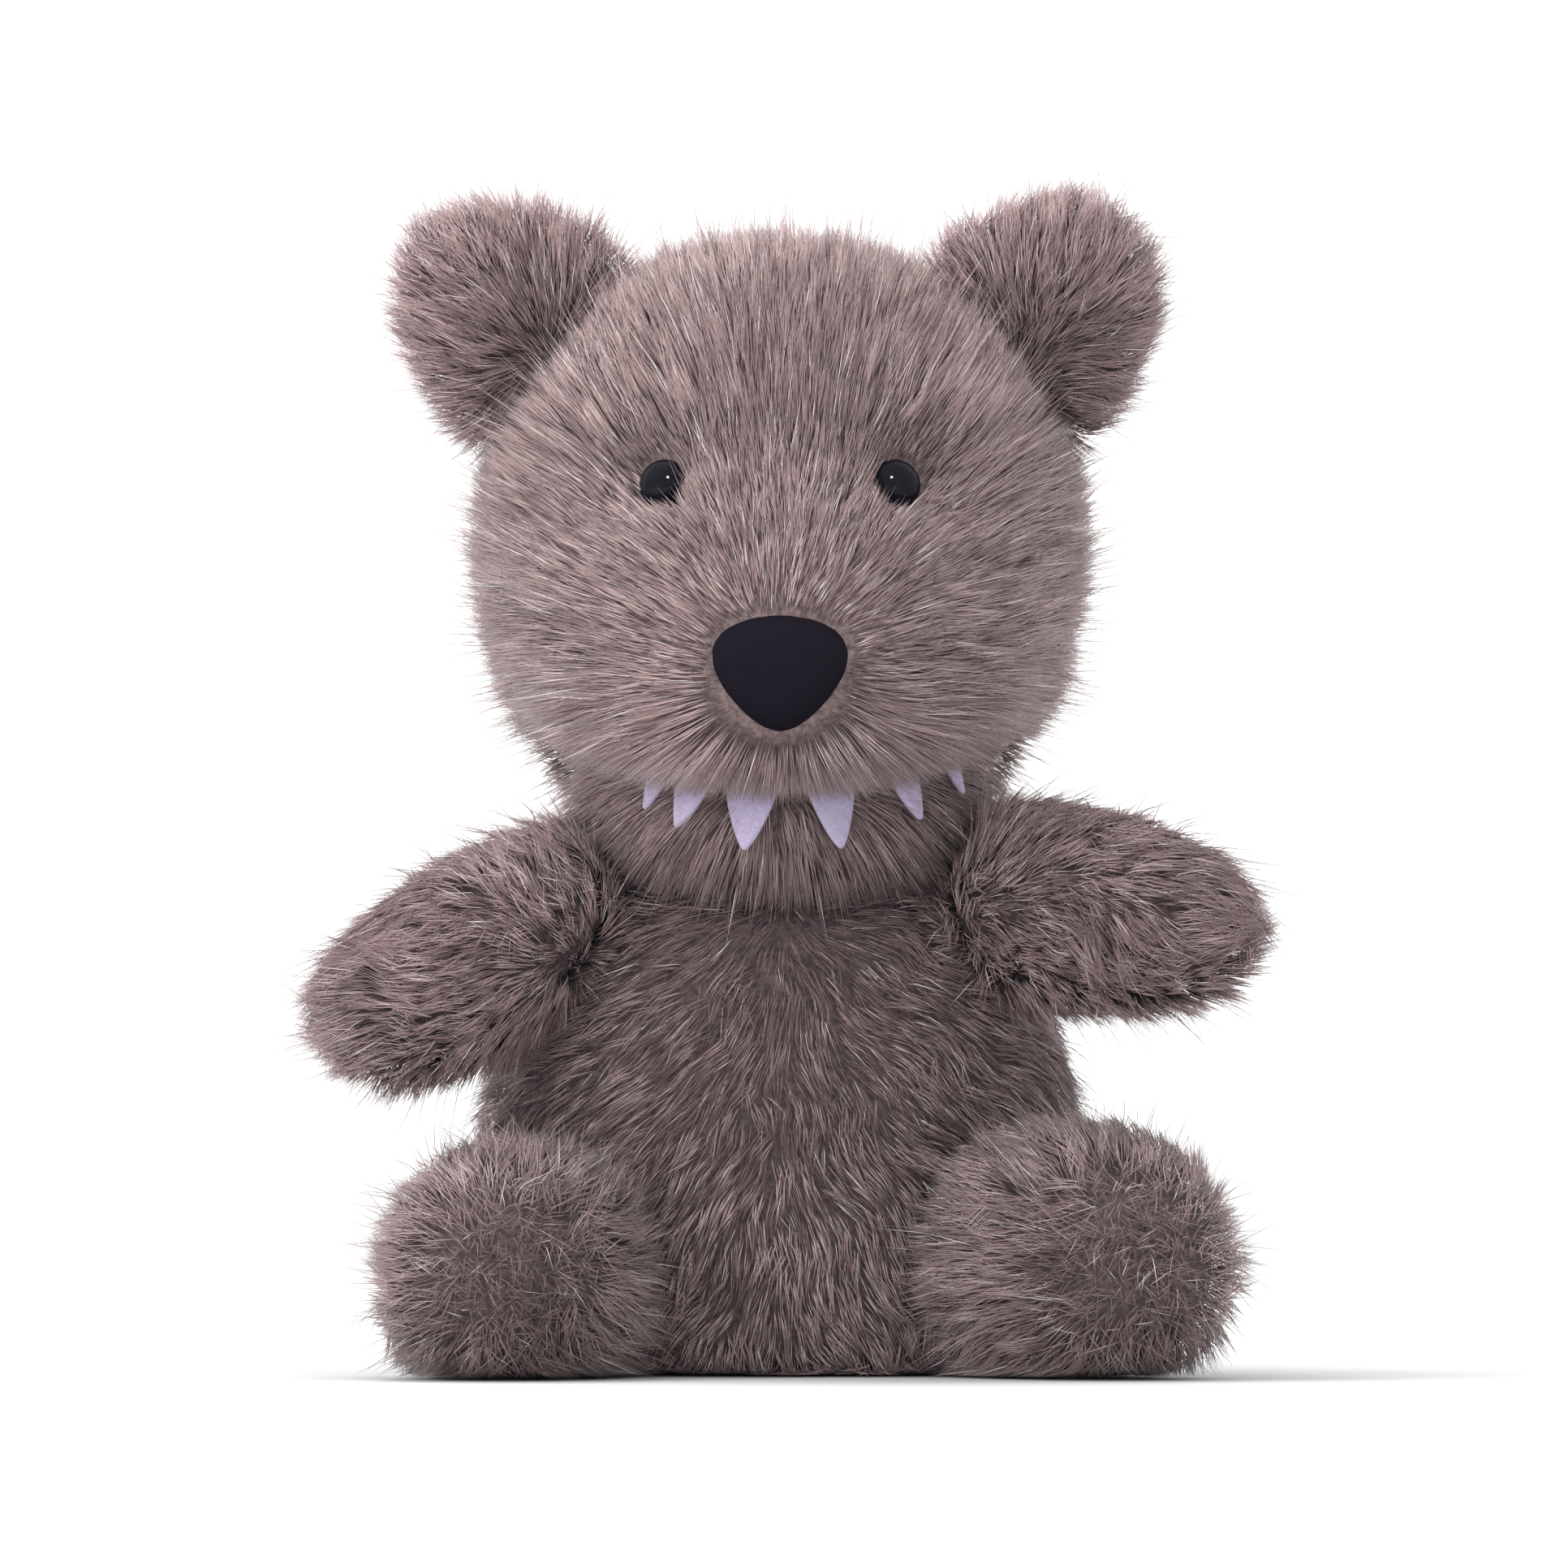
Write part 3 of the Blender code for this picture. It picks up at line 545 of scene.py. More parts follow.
nose_finish = woven_finish("nose cloth", (0.005, 0.004, 0.008), (0.015, 0.012, 0.021), THREAD)
nose = softened("nose_patch", "nose", 2, nose_finish)
nose_low, nose_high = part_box("nose")
print(f"The nose is {1000 * (nose_high.x - nose_low.x):.1f} mm wide")

# %% [markdown]
# ## The nose's seat
#
# A nose is sewn flat to the muzzle, and seen from the side no light shows between the two. The
# smoothed bag lies a few millimetres behind it, so the cloth there is drawn forward to the
# nose's back, and less and less outside its outline.

# %% Seating the nose
SEAT_REACH = 0.020
SEAT_SPREAD = 2.2


def seat_nose(bag):
    """Draws the cloth of the muzzle forward to the back of the nose that is sewn to it."""
    middle = (nose_low + nose_high) / 2
    half = (nose_high - nose_low) / 2
    for corner in bag.data.vertices:
        across = (corner.co.x - middle.x) / half.x
        up = (corner.co.z - middle.z) / half.z
        gap = corner.co.y - nose_high.y
        if 0 < gap < SEAT_REACH:
            corner.co.y -= gap * exp(-((across ** 2 + up ** 2) / SEAT_SPREAD) ** 2)


seat_nose(bags["head"])
print(f"The muzzle now meets the nose at y = {nose_high.y:.4f}")

# %% [markdown]
# ## Teeth
#
# The teeth are single pieces of white felt, sewn into the mouth seam. They are made as the nose
# is, with one subdivision, because felt keeps a crisper edge. Pressed felt has no threads: fine
# twisted noise gives its matted fibres, and a sheen its soft bloom.

# %% Teeth
TEETH = [f"{kind}_tooth_{side}" for side in SIDES for kind in ("back", "side", "eye")]
FIBRE_SCALE = 1400.0
FIBRE_DEPTH = 0.00015


def felt_finish(name, shaded, bright):
    """Pressed felt: matted fibres, with a soft shade to the colour."""
    material, shader = new_finish(name, 0.9, Sheen_Weight=0.3, Sheen_Roughness=0.5)
    spot = add_node(material, "ShaderNodeTexCoord")
    fibres = add_node(material, "ShaderNodeTexNoise",
                      {"Vector": spot.outputs["Object"], "Scale": FIBRE_SCALE, "Detail": 4.0,
                       "Distortion": 1.5})
    colour = add_ramp(material, fibres.outputs["Fac"], [(0.3, shaded), (0.7, bright)])
    material.node_tree.links.new(colour, shader.inputs["Base Color"])
    bump(material, shader, fibres.outputs["Fac"], FIBRE_DEPTH)
    return material


tooth_finish = felt_finish("tooth felt", (0.27, 0.23, 0.34), (0.39, 0.34, 0.47))
teeth = [softened(f"{node}_felt", node, 1, tooth_finish) for node in TEETH]
print(len(teeth), "felt teeth")

# %% [markdown]
# ## Washers
#
# The washers hold the eyes from inside the head and are never seen. They keep the frame's shape
# and get the milky, slightly streaked look of pressed-out plastic.

# %% Washer finish
FLOW_SCALE = 400.0

washer_finish, shader = new_finish("washer plastic", 0.45)
spot = add_node(washer_finish, "ShaderNodeTexCoord")
flow = add_node(washer_finish, "ShaderNodeTexNoise",
                {"Vector": spot.outputs["Object"], "Scale": FLOW_SCALE})
washer_colour = add_ramp(washer_finish, flow.outputs["Fac"],
                         [(0.3, (0.60, 0.59, 0.56)), (0.7, (0.68, 0.67, 0.64))])
washer_finish.node_tree.links.new(washer_colour, shader.inputs["Base Color"])
for side in SIDES:
    washer = bpy.data.objects[f"eye_washer_{side}"]
    washer.data.materials.clear()
    washer.data.materials.append(washer_finish)
    print(washer.name, "is", washer_finish.name)

# %% [markdown]
# ## One hair
#
# A hair is thickest near its root and runs out to a point, and it bends over under its own
# weight. A ball with three sides and one ring between its poles is the smallest closed form
# that can do this: drawn out along a curve, it has six faces. There are more than a hundred
# thousand hairs, so every face counts.

# %% The hair that all others copy
RING_PLACE = 0.42


def hair_pattern():
    """The places of a hair's corners along and across it, and its faces."""
    form = bmesh.new()
    bmesh.ops.create_uvsphere(form, u_segments=3, v_segments=2, radius=1)
    bmesh.ops.recalc_face_normals(form, faces=form.faces[:])
    form.verts.index_update()
    corners = np.array([corner.co for corner in form.verts])
    faces = np.array([[corner.index for corner in face.verts] for face in form.faces])
    form.free()
    along = np.interp(corners[:, 2], [-1, 0, 1], [0, RING_PLACE, 1])
    return along, corners[:, :2], faces


hair_along, hair_across, hair_faces = hair_pattern()
print("A hair has", len(hair_along), "corners and", len(hair_faces), "faces")

# %% [markdown]
# ## From one hair to a coat
#
# Copying the hair with a modifier would give every copy the same bend. Here each hair has its
# own curve, so the copies are placed with arrays instead: one row for each hair, with its root,
# the point it bends towards and its tip. The faces are the pattern's own, counted up.

# %% Making a piece from hairs
ROOT_END, TIP_END = 0.02, 0.98
MAP_COLUMN = np.array([-0.4, 0.4, 0.0]) / TINTS


def unit(rows):
    """Each row scaled to length one."""
    return rows / np.maximum(np.linalg.norm(rows, axis=1, keepdims=True), 1e-9)


def point_on(root, bend, tip, t):
    """The point of each hair's curve at a share t of the way from root to tip."""
    return (1 - t) ** 2 * root + 2 * t * (1 - t) * bend + t ** 2 * tip


def map_hairs(mesh, tint):
    """Gives each hair its column of tint across the map, and its length along it."""
    column = (np.floor(tint * TINTS).clip(0, TINTS - 1) + 0.5) / TINTS
    u = column[:, None, None] + MAP_COLUMN + np.zeros(hair_faces.shape)
    v = np.broadcast_to(ROOT_END + (TIP_END - ROOT_END) * hair_along[hair_faces], u.shape)
    layer = mesh.uv_layers.new(name=HAIR_MAP)
    layer.data.foreach_set("uv", np.stack([u, v], axis=-1).astype(np.float32).ravel())


def hairs_to_piece(name, hairs, finish, chance):
    """One piece from many hairs: rows of root, bend, tip, width and tint."""
    root, bend, tip, width, tint = hairs
    count, corners = len(root), len(hair_along)
    axis = unit(tip - root)
    side = unit(np.cross(axis, chance.normal(size=(count, 3))))
    other = np.cross(axis, side)
    path = point_on(root[:, None], bend[:, None], tip[:, None], hair_along[None, :, None])
    across = (side[:, None] * hair_across[None, :, :1] + other[:, None] * hair_across[None, :, 1:])
    places = path + across * (width / 2)[:, None, None]
    faces = hair_faces[None] + (np.arange(count) * corners)[:, None, None]

    mesh = bpy.data.meshes.new(name)
    mesh.vertices.add(count * corners)
    mesh.vertices.foreach_set("co", places.astype(np.float32).ravel())
    mesh.loops.add(faces.size)
    mesh.loops.foreach_set("vertex_index", faces.astype(np.int32).ravel())
    mesh.polygons.add(faces.size // 3)
    mesh.polygons.foreach_set("loop_start", np.arange(0, faces.size, 3, dtype=np.int32))
    mesh.update(calc_edges=True)
    map_hairs(mesh, tint)

    piece = bpy.data.objects.new(name, mesh)
    bpy.context.collection.objects.link(piece)
    mesh.shade_smooth()
    mesh.materials.append(finish)
    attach(piece, BODY)
    print(f"{name}: {count} hairs")
    return piece


# %% [markdown]
# ## Roots
#
# Pile is woven in evenly, so the roots are spread evenly over each bag. Where two bags meet
# there is no pile to see, and a ray cast outwards finds those places. The back gets fewer and
# broader hairs than the face, which is looked at most.

# %% Spreading roots
BACK_SHARE = 0.40
SIDE_FACING, FACING_SLOPE = 0.5, 0.8
COVERED_WITHIN = 0.0035
RAY_START = 0.0004


def triangles_of(piece):
    """Corners and corner normals of a piece's triangles."""
    mesh = piece.data
    mesh.calc_loop_triangles()
    picks = np.empty(len(mesh.loop_triangles) * 3, np.int32)
    mesh.loop_triangles.foreach_get("vertices", picks)
    places = np.empty(len(mesh.vertices) * 3, np.float32)
    mesh.vertices.foreach_get("co", places)
    normals = np.empty(len(mesh.vertices) * 3, np.float32)
    mesh.vertices.foreach_get("normal", normals)
    picks = picks.reshape(-1, 3)
    return places.reshape(-1, 3)[picks].astype(float), normals.reshape(-1, 3)[picks].astype(float)


def density(normals):
    """How thickly hairs stand on a surface, from how much it faces the front."""
    facing = np.clip(SIDE_FACING - FACING_SLOPE * normals[:, 1], 0, 1)
    return BACK_SHARE + (1 - BACK_SHARE) * facing


def spread_roots(bag, count, chance):
    """Roots spread evenly over a bag: their places and the ways out from there."""
    corners, normals = triangles_of(bag)
    spans = np.cross(corners[:, 1] - corners[:, 0], corners[:, 2] - corners[:, 0])
    areas = np.linalg.norm(spans, axis=1) * density(unit(normals.mean(1)))
    steps = (np.arange(count) + chance.random(count)) / count * areas.sum()
    chosen = np.searchsorted(np.cumsum(areas), steps).clip(0, len(areas) - 1)
    shares = chance.dirichlet((1, 1, 1), count)[:, :, None]
    return (corners[chosen] * shares).sum(1), unit((normals[chosen] * shares).sum(1))


def uncovered(root, outward, trees):
    """Which roots have no other piece close in front of them."""
    free = np.ones(len(root), bool)
    for number, (place, way) in enumerate(zip(root, outward)):
        start = Vector(place + way * RAY_START)
        free[number] = all(tree.ray_cast(start, Vector(way), COVERED_WITHIN)[0] is None
                           for tree in trees)
    return free


trees = [BVHTree.FromBMesh(mesh_of(piece)) for piece in [*bags.values(), *eyes.values(), nose]]
print("Roots are tested against", len(trees), "pieces")

# %% [markdown]
# ## Locks and swirls
#
# Fur cloth has a lie, the way its pile leans. Left to a formula it would look like a brush.
# Real pile winds a little from side to side, which a few long waves of random heading imitate,
# and neighbouring hairs stick together in locks: some hairs are chosen as the locks' middles,
# and every other hair joins the nearest.

# %% A gentle swirl and the locks
WAVE_COUNT = 7


def swirl(place, wavelength, chance):
    """Smooth, random side winds over a coat."""
    wind = np.zeros_like(place)
    for _ in range(WAVE_COUNT):
        way = unit(chance.normal(size=(1, 3)))[0]
        push = chance.normal(size=3)
        phase = place @ way * 2 * pi / wavelength + chance.uniform(0, 2 * pi)
        wind += np.sin(phase)[:, None] * push
    return wind / WAVE_COUNT ** 0.5


def find_locks(root, hairs_per_lock, chance):
    """For each hair, the number of the hair in the middle of its lock."""
    count = len(root)
    seeds = chance.permutation(count)[:count // hairs_per_lock]
    tree = KDTree(len(seeds))
    for number, seed in enumerate(seeds):
        tree.insert(Vector(root[seed]), number)
    tree.balance()
    return seeds[np.array([tree.find(Vector(place))[1] for place in root])]


# %% [markdown]
# ## Growing a coat
#
# A comb, one for each kind of piece, says for every root which way the hair lies, how far it
# leans over, how long it is, how much it droops and how much painted shade its place gets.
# Growing turns this into curves. Each hair and each lock strays a little from the comb, a few
# hairs fly away from the coat, and a few are pale and fine: the toy's pale hairs, and painted
# highlights as well.

# %% Growing a coat
FLYAWAY_SHARE, FLYAWAY_LEAN, FLYAWAY_STRETCH = 0.05, 0.72, 1.45
PALE_AND_GLINT_SHARE = 0.070
PALE_AND_GLINT_TINT = PALE_AND_GLINT_FROM + 0.05
LIGHTEST = 0.97
OWN_TINT, LOCK_TINT = 0.45, 0.55
FINE_HAIR = 0.65
LEAN_SPREAD = radians(4)
LEAN_LIMITS = (radians(8), radians(84))
LENGTH_SPREAD = (0.72, 1.08)
PULL_SPREAD = (0.5, 1.0)
WIDTH_SPREAD = (0.8, 1.15)
BEND_LEAN, BEND_PLACE, BEND_PULL = 0.55, 0.5, 0.45


def grow(bag, count, comb, chance, hairs_per_lock=12, lock_pull=0.2, stray=0.07, lock_stray=0.08,
         swirl_size=0.030, swirl_amount=0.10, width=0.00022):
    """Rows for the hairs of one bag: root, bend, tip, width and tint."""
    root, outward = spread_roots(bag, count, chance)
    free = uncovered(root, outward, trees)
    root, outward = root[free], outward[free]
    count = len(root)
    lie, lean, length, droop, shade = comb(root, outward)
    lock = find_locks(root, hairs_per_lock, chance)

    lie = unit(lie) + swirl(root, swirl_size, chance) * swirl_amount
    lie = lie + chance.normal(size=(count, 3)) * stray
    lie = lie + (chance.normal(size=(count, 3)) * lock_stray)[lock]
    lie = unit(lie - (lie * outward).sum(1, keepdims=True) * outward)
    lean = lean + chance.normal(size=count) * LEAN_SPREAD
    lean = lean + (chance.normal(size=count) * LEAN_SPREAD)[lock]
    flyaway = chance.random(count) < FLYAWAY_SHARE
    lean = np.where(flyaway, lean * FLYAWAY_LEAN, lean).clip(*LEAN_LIMITS)
    length = length * chance.uniform(*LENGTH_SPREAD, count) * np.where(flyaway, FLYAWAY_STRETCH, 1.0)

    lift, slope = np.cos(lean)[:, None], np.sin(lean)[:, None]
    tip = root + (outward * lift + lie * slope) * length[:, None]
    early = lean * BEND_LEAN
    rise = outward * np.cos(early)[:, None] + lie * np.sin(early)[:, None]
    bend = root + rise * (length * BEND_PLACE)[:, None]
    tip[:, 2] -= droop * length
    pull = (lock_pull * chance.uniform(*PULL_SPREAD, count) * ~flyaway)[:, None]
    tip = tip + (tip[lock] - tip) * pull
    bend = bend + (bend[lock] - bend) * pull * BEND_PULL

    broad = width / np.sqrt(density(outward)) * chance.uniform(*WIDTH_SPREAD, count)
    # Pale hairs are the toy's pale hairs and painted highlights both, so there are fewer in painted
    # shade.
    pale = chance.random(count) < PALE_AND_GLINT_SHARE * (1 - shade)
    tint = chance.random(count) * OWN_TINT + (chance.random(count) * LOCK_TINT)[lock]
    # The comb's painted shade darkens the tint; a negative shade lightens it as painted light.
    tint = (tint * (1 - shade)).clip(0, LIGHTEST) * PALE_AND_GLINT_FROM
    tint = np.where(pale, PALE_AND_GLINT_TINT, tint)
    broad = np.where(pale | flyaway, width * FINE_HAIR, broad)
    return [root, bend, tip, broad, tint]


def pick(hairs, wanted):
    """The chosen hairs."""
    return [part[wanted] for part in hairs]


# %% [markdown]
# ## Combing the head
#
# All the hair on the head runs away from the nose. It is short and flat on the muzzle, grows
# longer up the forehead and over the cheeks, and is kept short round the eyes. The forehead has
# a darker stripe of painted shade, and the fur right above each eye gets painted shade too. Over
# the mouth the hair hangs down and is as long as it takes to reach the teeth. Most rules fade in
# and out, because a sudden change in the pile shows as a crease.

# %% Helpers for combs
def rising(value, start, span):
    """Nothing up to a start, then a straight rise to one over a span."""
    return ((value - start) / span).clip(0, 1)


def falling(value, end, span):
    """A straight fall from one over a span, and nothing past its end."""
    return ((end - value) / span).clip(0, 1)


def fading(distance, size):
    """One at a place, fading smoothly with distance."""
    return np.exp(-(distance / size) ** 2)


# %% The lip
MOUTH_HALF_WIDTH = 0.042

nose_middle = np.array([(low + high) / 2 for low, high in zip(nose_low, nose_high)])
tooth_boxes = [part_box(node) for node in TEETH]
tooth_middles = [(low[0] + high[0]) / 2 for low, high in tooth_boxes]
lip_curve = np.polyfit(tooth_middles, [high[2] for low, high in tooth_boxes], 2)
front_curve = np.polyfit(tooth_middles, [low[1] for low, high in tooth_boxes], 2)
print(f"The lip is {1000 * np.polyval(lip_curve, 0):.0f} mm above the floor in the middle")

# %% Comb for the head
MUZZLE_RADIUS, MUZZLE_FADE = 0.012, 0.040
MUZZLE_PILE, LONGER_PILE = 0.0062, 0.0072
MUZZLE_LEAN, LOOSER = radians(77), radians(4)
EDGE_LIFT = radians(10)
CROWN_FROM, CROWN_SPAN = 0.6, 0.3
CHEEK_FROM, CHEEK_SPAN = 0.5, 0.4
STRIPE_SHADE, STRIPE_HALF_WIDTH = 0.45, 0.020
STRIPE_FROM, STRIPE_END, STRIPE_END_SPAN = 0.022, 0.6, 0.2
STRIPE_CUT, STRIPE_CUT_SIZE, STRIPE_CUT_BELOW = 0.36, 0.034, 0.002
EYE_SHORTER, EYE_FLATTER, BROW_SHADE, EYE_FADE = 0.40, radians(4), 0.6, 0.9
BEHIND_EYE = -0.004
FRINGE_TOP, FRINGE_FADE = 0.018, 0.009
FRINGE_START, FRINGE_RISE = 0.001, 0.002
MOUTH_END_FADE, MOUTH_DEPTH = 0.008, -0.035
FRINGE_LIFT = radians(4)
FRINGE_SPARE, FRINGE_SLACK = 0.0085, 1.25
HEAD_DROOP = 0.05


def comb_round_eyes(root, lean, length, shade):
    """Shorter, flatter hair round the eyes, and painted shade on the brow."""
    for place in eye_places.values():
        offset = root - np.array(place.washer)
        height = offset @ np.array(place.axis)
        away = np.linalg.norm(offset - height[:, None] * np.array(place.axis), axis=1) / place.radius
        near = fading((away - 1.0).clip(0), EYE_FADE) * (height > BEHIND_EYE)
        length = length * (1 - EYE_SHORTER * near)
        lean = lean + EYE_FLATTER * near
        # Painted shade on the fur above each eye, as in a socket.
        shade = np.maximum(shade, BROW_SHADE * near * (root[:, 2] > place.washer[2]))
    return lean, length, shade


def comb_over_mouth(root, outward, lean, length):
    """Hair that hangs down over the roots of the teeth."""
    above_lip = root[:, 2] - np.polyval(lip_curve, root[:, 0])
    over = falling(above_lip, FRINGE_TOP, FRINGE_FADE) * rising(above_lip, FRINGE_START, FRINGE_RISE)
    over *= falling(np.abs(root[:, 0]), MOUTH_HALF_WIDTH, MOUTH_END_FADE)
    over *= root[:, 1] < MOUTH_DEPTH
    hanging = np.minimum(lean, np.arccos((-outward[:, 2]).clip(0, 1)) + FRINGE_LIFT)
    lean = lean + (hanging - lean) * over
    reaching = np.maximum(length, FRINGE_SLACK * above_lip + FRINGE_SPARE)
    return lean, length + (reaching - length) * over


def head_comb(root, outward):
    """Away from the nose, longer and looser with distance, and short at the eyes."""
    reach = root - nose_middle
    distance = np.linalg.norm(reach, axis=1)
    far = rising(distance, MUZZLE_RADIUS, MUZZLE_FADE)
    length = MUZZLE_PILE + LONGER_PILE * far
    lean = MUZZLE_LEAN - LOOSER * far
    lean = lean - EDGE_LIFT * rising(outward[:, 2], CROWN_FROM, CROWN_SPAN)
    lean = lean - EDGE_LIFT * rising(np.abs(outward[:, 0]), CHEEK_FROM, CHEEK_SPAN)
    # Painted shade: a darker stripe up the middle of the forehead, above the nose's middle only.
    shade = STRIPE_SHADE * fading(root[:, 0], STRIPE_HALF_WIDTH)
    shade = shade * (distance > STRIPE_FROM) * (outward[:, 1] < 0)
    shade = shade * (1 - rising(outward[:, 2], STRIPE_END, STRIPE_END_SPAN)) * (reach[:, 2] > 0)
    # Close to the nose the painted stripe shade is taken back.
    beside_nose = fading(distance, STRIPE_CUT_SIZE) * (reach[:, 2] < STRIPE_CUT_BELOW)
    shade = shade - STRIPE_CUT * beside_nose
    lean, length, shade = comb_round_eyes(root, lean, length, shade)
    lean, length = comb_over_mouth(root, outward, lean, length)
    return reach, lean, length, np.full(len(root), HEAD_DROOP), shade


# %% [markdown]
# ## Clearing the eyes and trimming the fringe
#
# On the real toy the pile is brushed off the eyes and clipped over the mouth. Hairs whose curve
# crosses an eye are left out, but those from below may overlap its lower edge a little, as they
# do in the photograph. The fringe over the mouth is cut to an uneven line just under the lip and
# passes in front of the teeth, so it covers their sewn roots and nothing more.

# %% Clearing and trimming
EYE_TEST_POINTS = (0.4, 0.7, 0.85, 1.0)
CLEAR_FROM_BELOW, CLEAR_FROM_ABOVE = 0.66, 0.95
CLEAR_BEHIND, CLEAR_BEFORE = 0.002, 0.02
HANG = 0.0052
HANG_SPREAD = (0.4, 1.2)
HANG_LESS, HANG_LEAST = 0.9, 0.15
CUT_HALF_WIDTH, CUT_BELOW_LIP, SHORTEST_CUT = 0.045, 0.004, 0.25
FRINGE_DEPTH, FRINGE_REACH = 0.004, 0.001
BEND_BEFORE_TEETH, TIP_BEFORE_TEETH = 0.0006, 0.0012


def clear_eyes(hairs):
    """Leaves out the hairs that would lie across an eye."""
    root, bend, tip = hairs[:3]
    keep = np.ones(len(root), bool)
    for place in eye_places.values():
        axis = np.array(place.axis)
        from_below = root[:, 2] < place.washer[2]
        reach = place.radius * np.where(from_below, CLEAR_FROM_BELOW, CLEAR_FROM_ABOVE)
        for t in EYE_TEST_POINTS:
            offset = point_on(root, bend, tip, t) - np.array(place.washer)
            height = offset @ axis
            away = np.linalg.norm(offset - height[:, None] * axis, axis=1)
            before = (height > place.rim - CLEAR_BEHIND) & (height < place.top + CLEAR_BEFORE)
            keep &= ~((away < reach) & before)
    return pick(hairs, keep)


def trim_fringe(hairs, chance):
    """Cuts the fringe over the mouth, so that it covers the teeth's roots alone."""
    root, bend, tip = hairs[:3]
    lip = np.polyval(lip_curve, root[:, 0])
    hang = HANG * (1 - HANG_LESS * (root[:, 0] / MOUTH_HALF_WIDTH) ** 2).clip(HANG_LEAST, 1)
    lowest = lip - hang * chance.uniform(*HANG_SPREAD, len(root))
    cut = (root[:, 1] < 0) & (np.abs(root[:, 0]) < CUT_HALF_WIDTH) & (tip[:, 2] < lowest)
    cut &= root[:, 2] > lip - CUT_BELOW_LIP
    share = (root[:, 2] - lowest) / np.maximum(root[:, 2] - tip[:, 2], 1e-6)
    share = np.where(cut, share.clip(SHORTEST_CUT, 1), 1.0)[:, None]
    bend = root + (bend - root) * share
    tip = root + (tip - root) * share

    fringe = root[:, 1] < np.polyval(front_curve, root[:, 0]) + FRINGE_DEPTH
    fringe &= (root[:, 2] > lip) & (tip[:, 2] < lip + FRINGE_REACH)
    for part, gap in ((bend, BEND_BEFORE_TEETH), (tip, TIP_BEFORE_TEETH)):
        before_teeth = np.polyval(front_curve, part[:, 0]) - gap
        part[:, 1] = np.where(fringe, np.minimum(part[:, 1], before_teeth), part[:, 1])
    return [root, bend, tip, *hairs[3:]]


# %% Grow the head's coat
HEAD_HAIRS = 74000
HEAD_PIECES = ("front", "side", "back")
HEAD_LOCK_PULL = 0.27
COAT_SEED = 5

chance = np.random.default_rng(COAT_SEED)
head_hairs = grow(bags["head"], HEAD_HAIRS, head_comb, chance, lock_pull=HEAD_LOCK_PULL)
head_hairs = trim_fringe(clear_eyes(head_hairs), chance)
order = np.argsort(head_hairs[0][:, 1])
for label, rows in zip(HEAD_PIECES, np.array_split(order, len(HEAD_PIECES))):
    hairs_to_piece(f"head_fur_{label}", pick(head_hairs, rows), hair["face"], chance)

# %% [markdown]
# ## The jaw's coat
#
# The jaw is a bowl under the teeth. Its pile falls from the lip like a beard, down and back, and
# lies in the shade of the muzzle, so its hair is painted a little darker, a painted shadow.

# %% Jaw
JAW_HAIRS = 9000
# JAW_SHADE is the painted shadow of the muzzle on the jaw's hair.
JAW_LEAN, JAW_PILE, JAW_DROOP, JAW_SHADE = radians(62), 0.0125, 0.15, 0.22
JAW_LOCK_PULL = 0.25


def jaw_comb(root, outward):
    """Down and back from the lip."""
    count = len(root)
    return (root - nose_middle, np.full(count, JAW_LEAN), np.full(count, JAW_PILE),
            np.full(count, JAW_DROOP), np.full(count, JAW_SHADE))


jaw_hairs = grow(bags["jaw"], JAW_HAIRS, jaw_comb, chance, lock_pull=JAW_LOCK_PULL)
hairs_to_piece("jaw_fur", jaw_hairs, hair["face"], chance)

# %% [markdown]
# ## Ears
#
# An ear is a thick padded flap. Its pile runs from the seam to the rim, in wilder locks than on
# the head, and the inner corner by the seam gets painted shade. The seam is found on the frame,
# as the part of the ear that lies nearest the head's middle.

# %% Ears
EAR_HAIRS = 7000
EAR_LEAN, EAR_PILE, EAR_DROOP = radians(58), 0.0105, 0.02
EAR_SHADE_SIZE = 0.016
HOLLOW_PLACE = 0.6
SEAM_PERCENT = 8
# Painted shade, darkest at the ear's hollow or at a limb's seam.
LIMB_SHADE, LIMB_SHADE_SIZE = 0.6, 0.012
EAR_COAT = {"lock_pull": 0.3, "stray": 0.16, "lock_stray": 0.20,
            "swirl_size": 0.022, "swirl_amount": 0.30}


def middle_of(node):
    """The middle of a node's box."""
    low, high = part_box(node)
    return np.array([(a + b) / 2 for a, b in zip(low, high)])


def seam_middle(node, carrier):
    """Where a limb is sewn on: the mean of its corners that lie nearest its carrier."""
    corners = corners_of(node)
    distance = np.linalg.norm(corners - carrier, axis=1)
    return corners[distance < np.percentile(distance, SEAM_PERCENT)].mean(0)


def away_comb(source, lean, length, droop, shaded=None, shade_size=LIMB_SHADE_SIZE):
    """A comb that runs away from a source, with painted shade round the shaded place, or round the
    source.
    """
    def comb(root, outward):
        count = len(root)
        distance = np.linalg.norm(root - (source if shaded is None else shaded), axis=1)
        return (root - source, np.full(count, lean), np.full(count, length),
                np.full(count, droop), LIMB_SHADE * fading(distance, shade_size))
    return comb


for side in SIDES:
    ear = f"ear_{side}"
    seam = seam_middle(ear, middle_of("head"))
    hollow = seam * HOLLOW_PLACE + middle_of(ear) * (1 - HOLLOW_PLACE)
    comb = away_comb(seam, EAR_LEAN, EAR_PILE, EAR_DROOP, hollow, EAR_SHADE_SIZE)
    hairs = grow(bags[ear], EAR_HAIRS, comb, chance, **EAR_COAT)
    hairs_to_piece(f"{ear}_fur", hairs, hair["ear"], chance)

# %% [markdown]
# ## Arms
#
# The pile of an arm runs from the shoulder to the paw and droops a little on the way. Handling
# has ruffled it, so its locks stray more than on the belly.

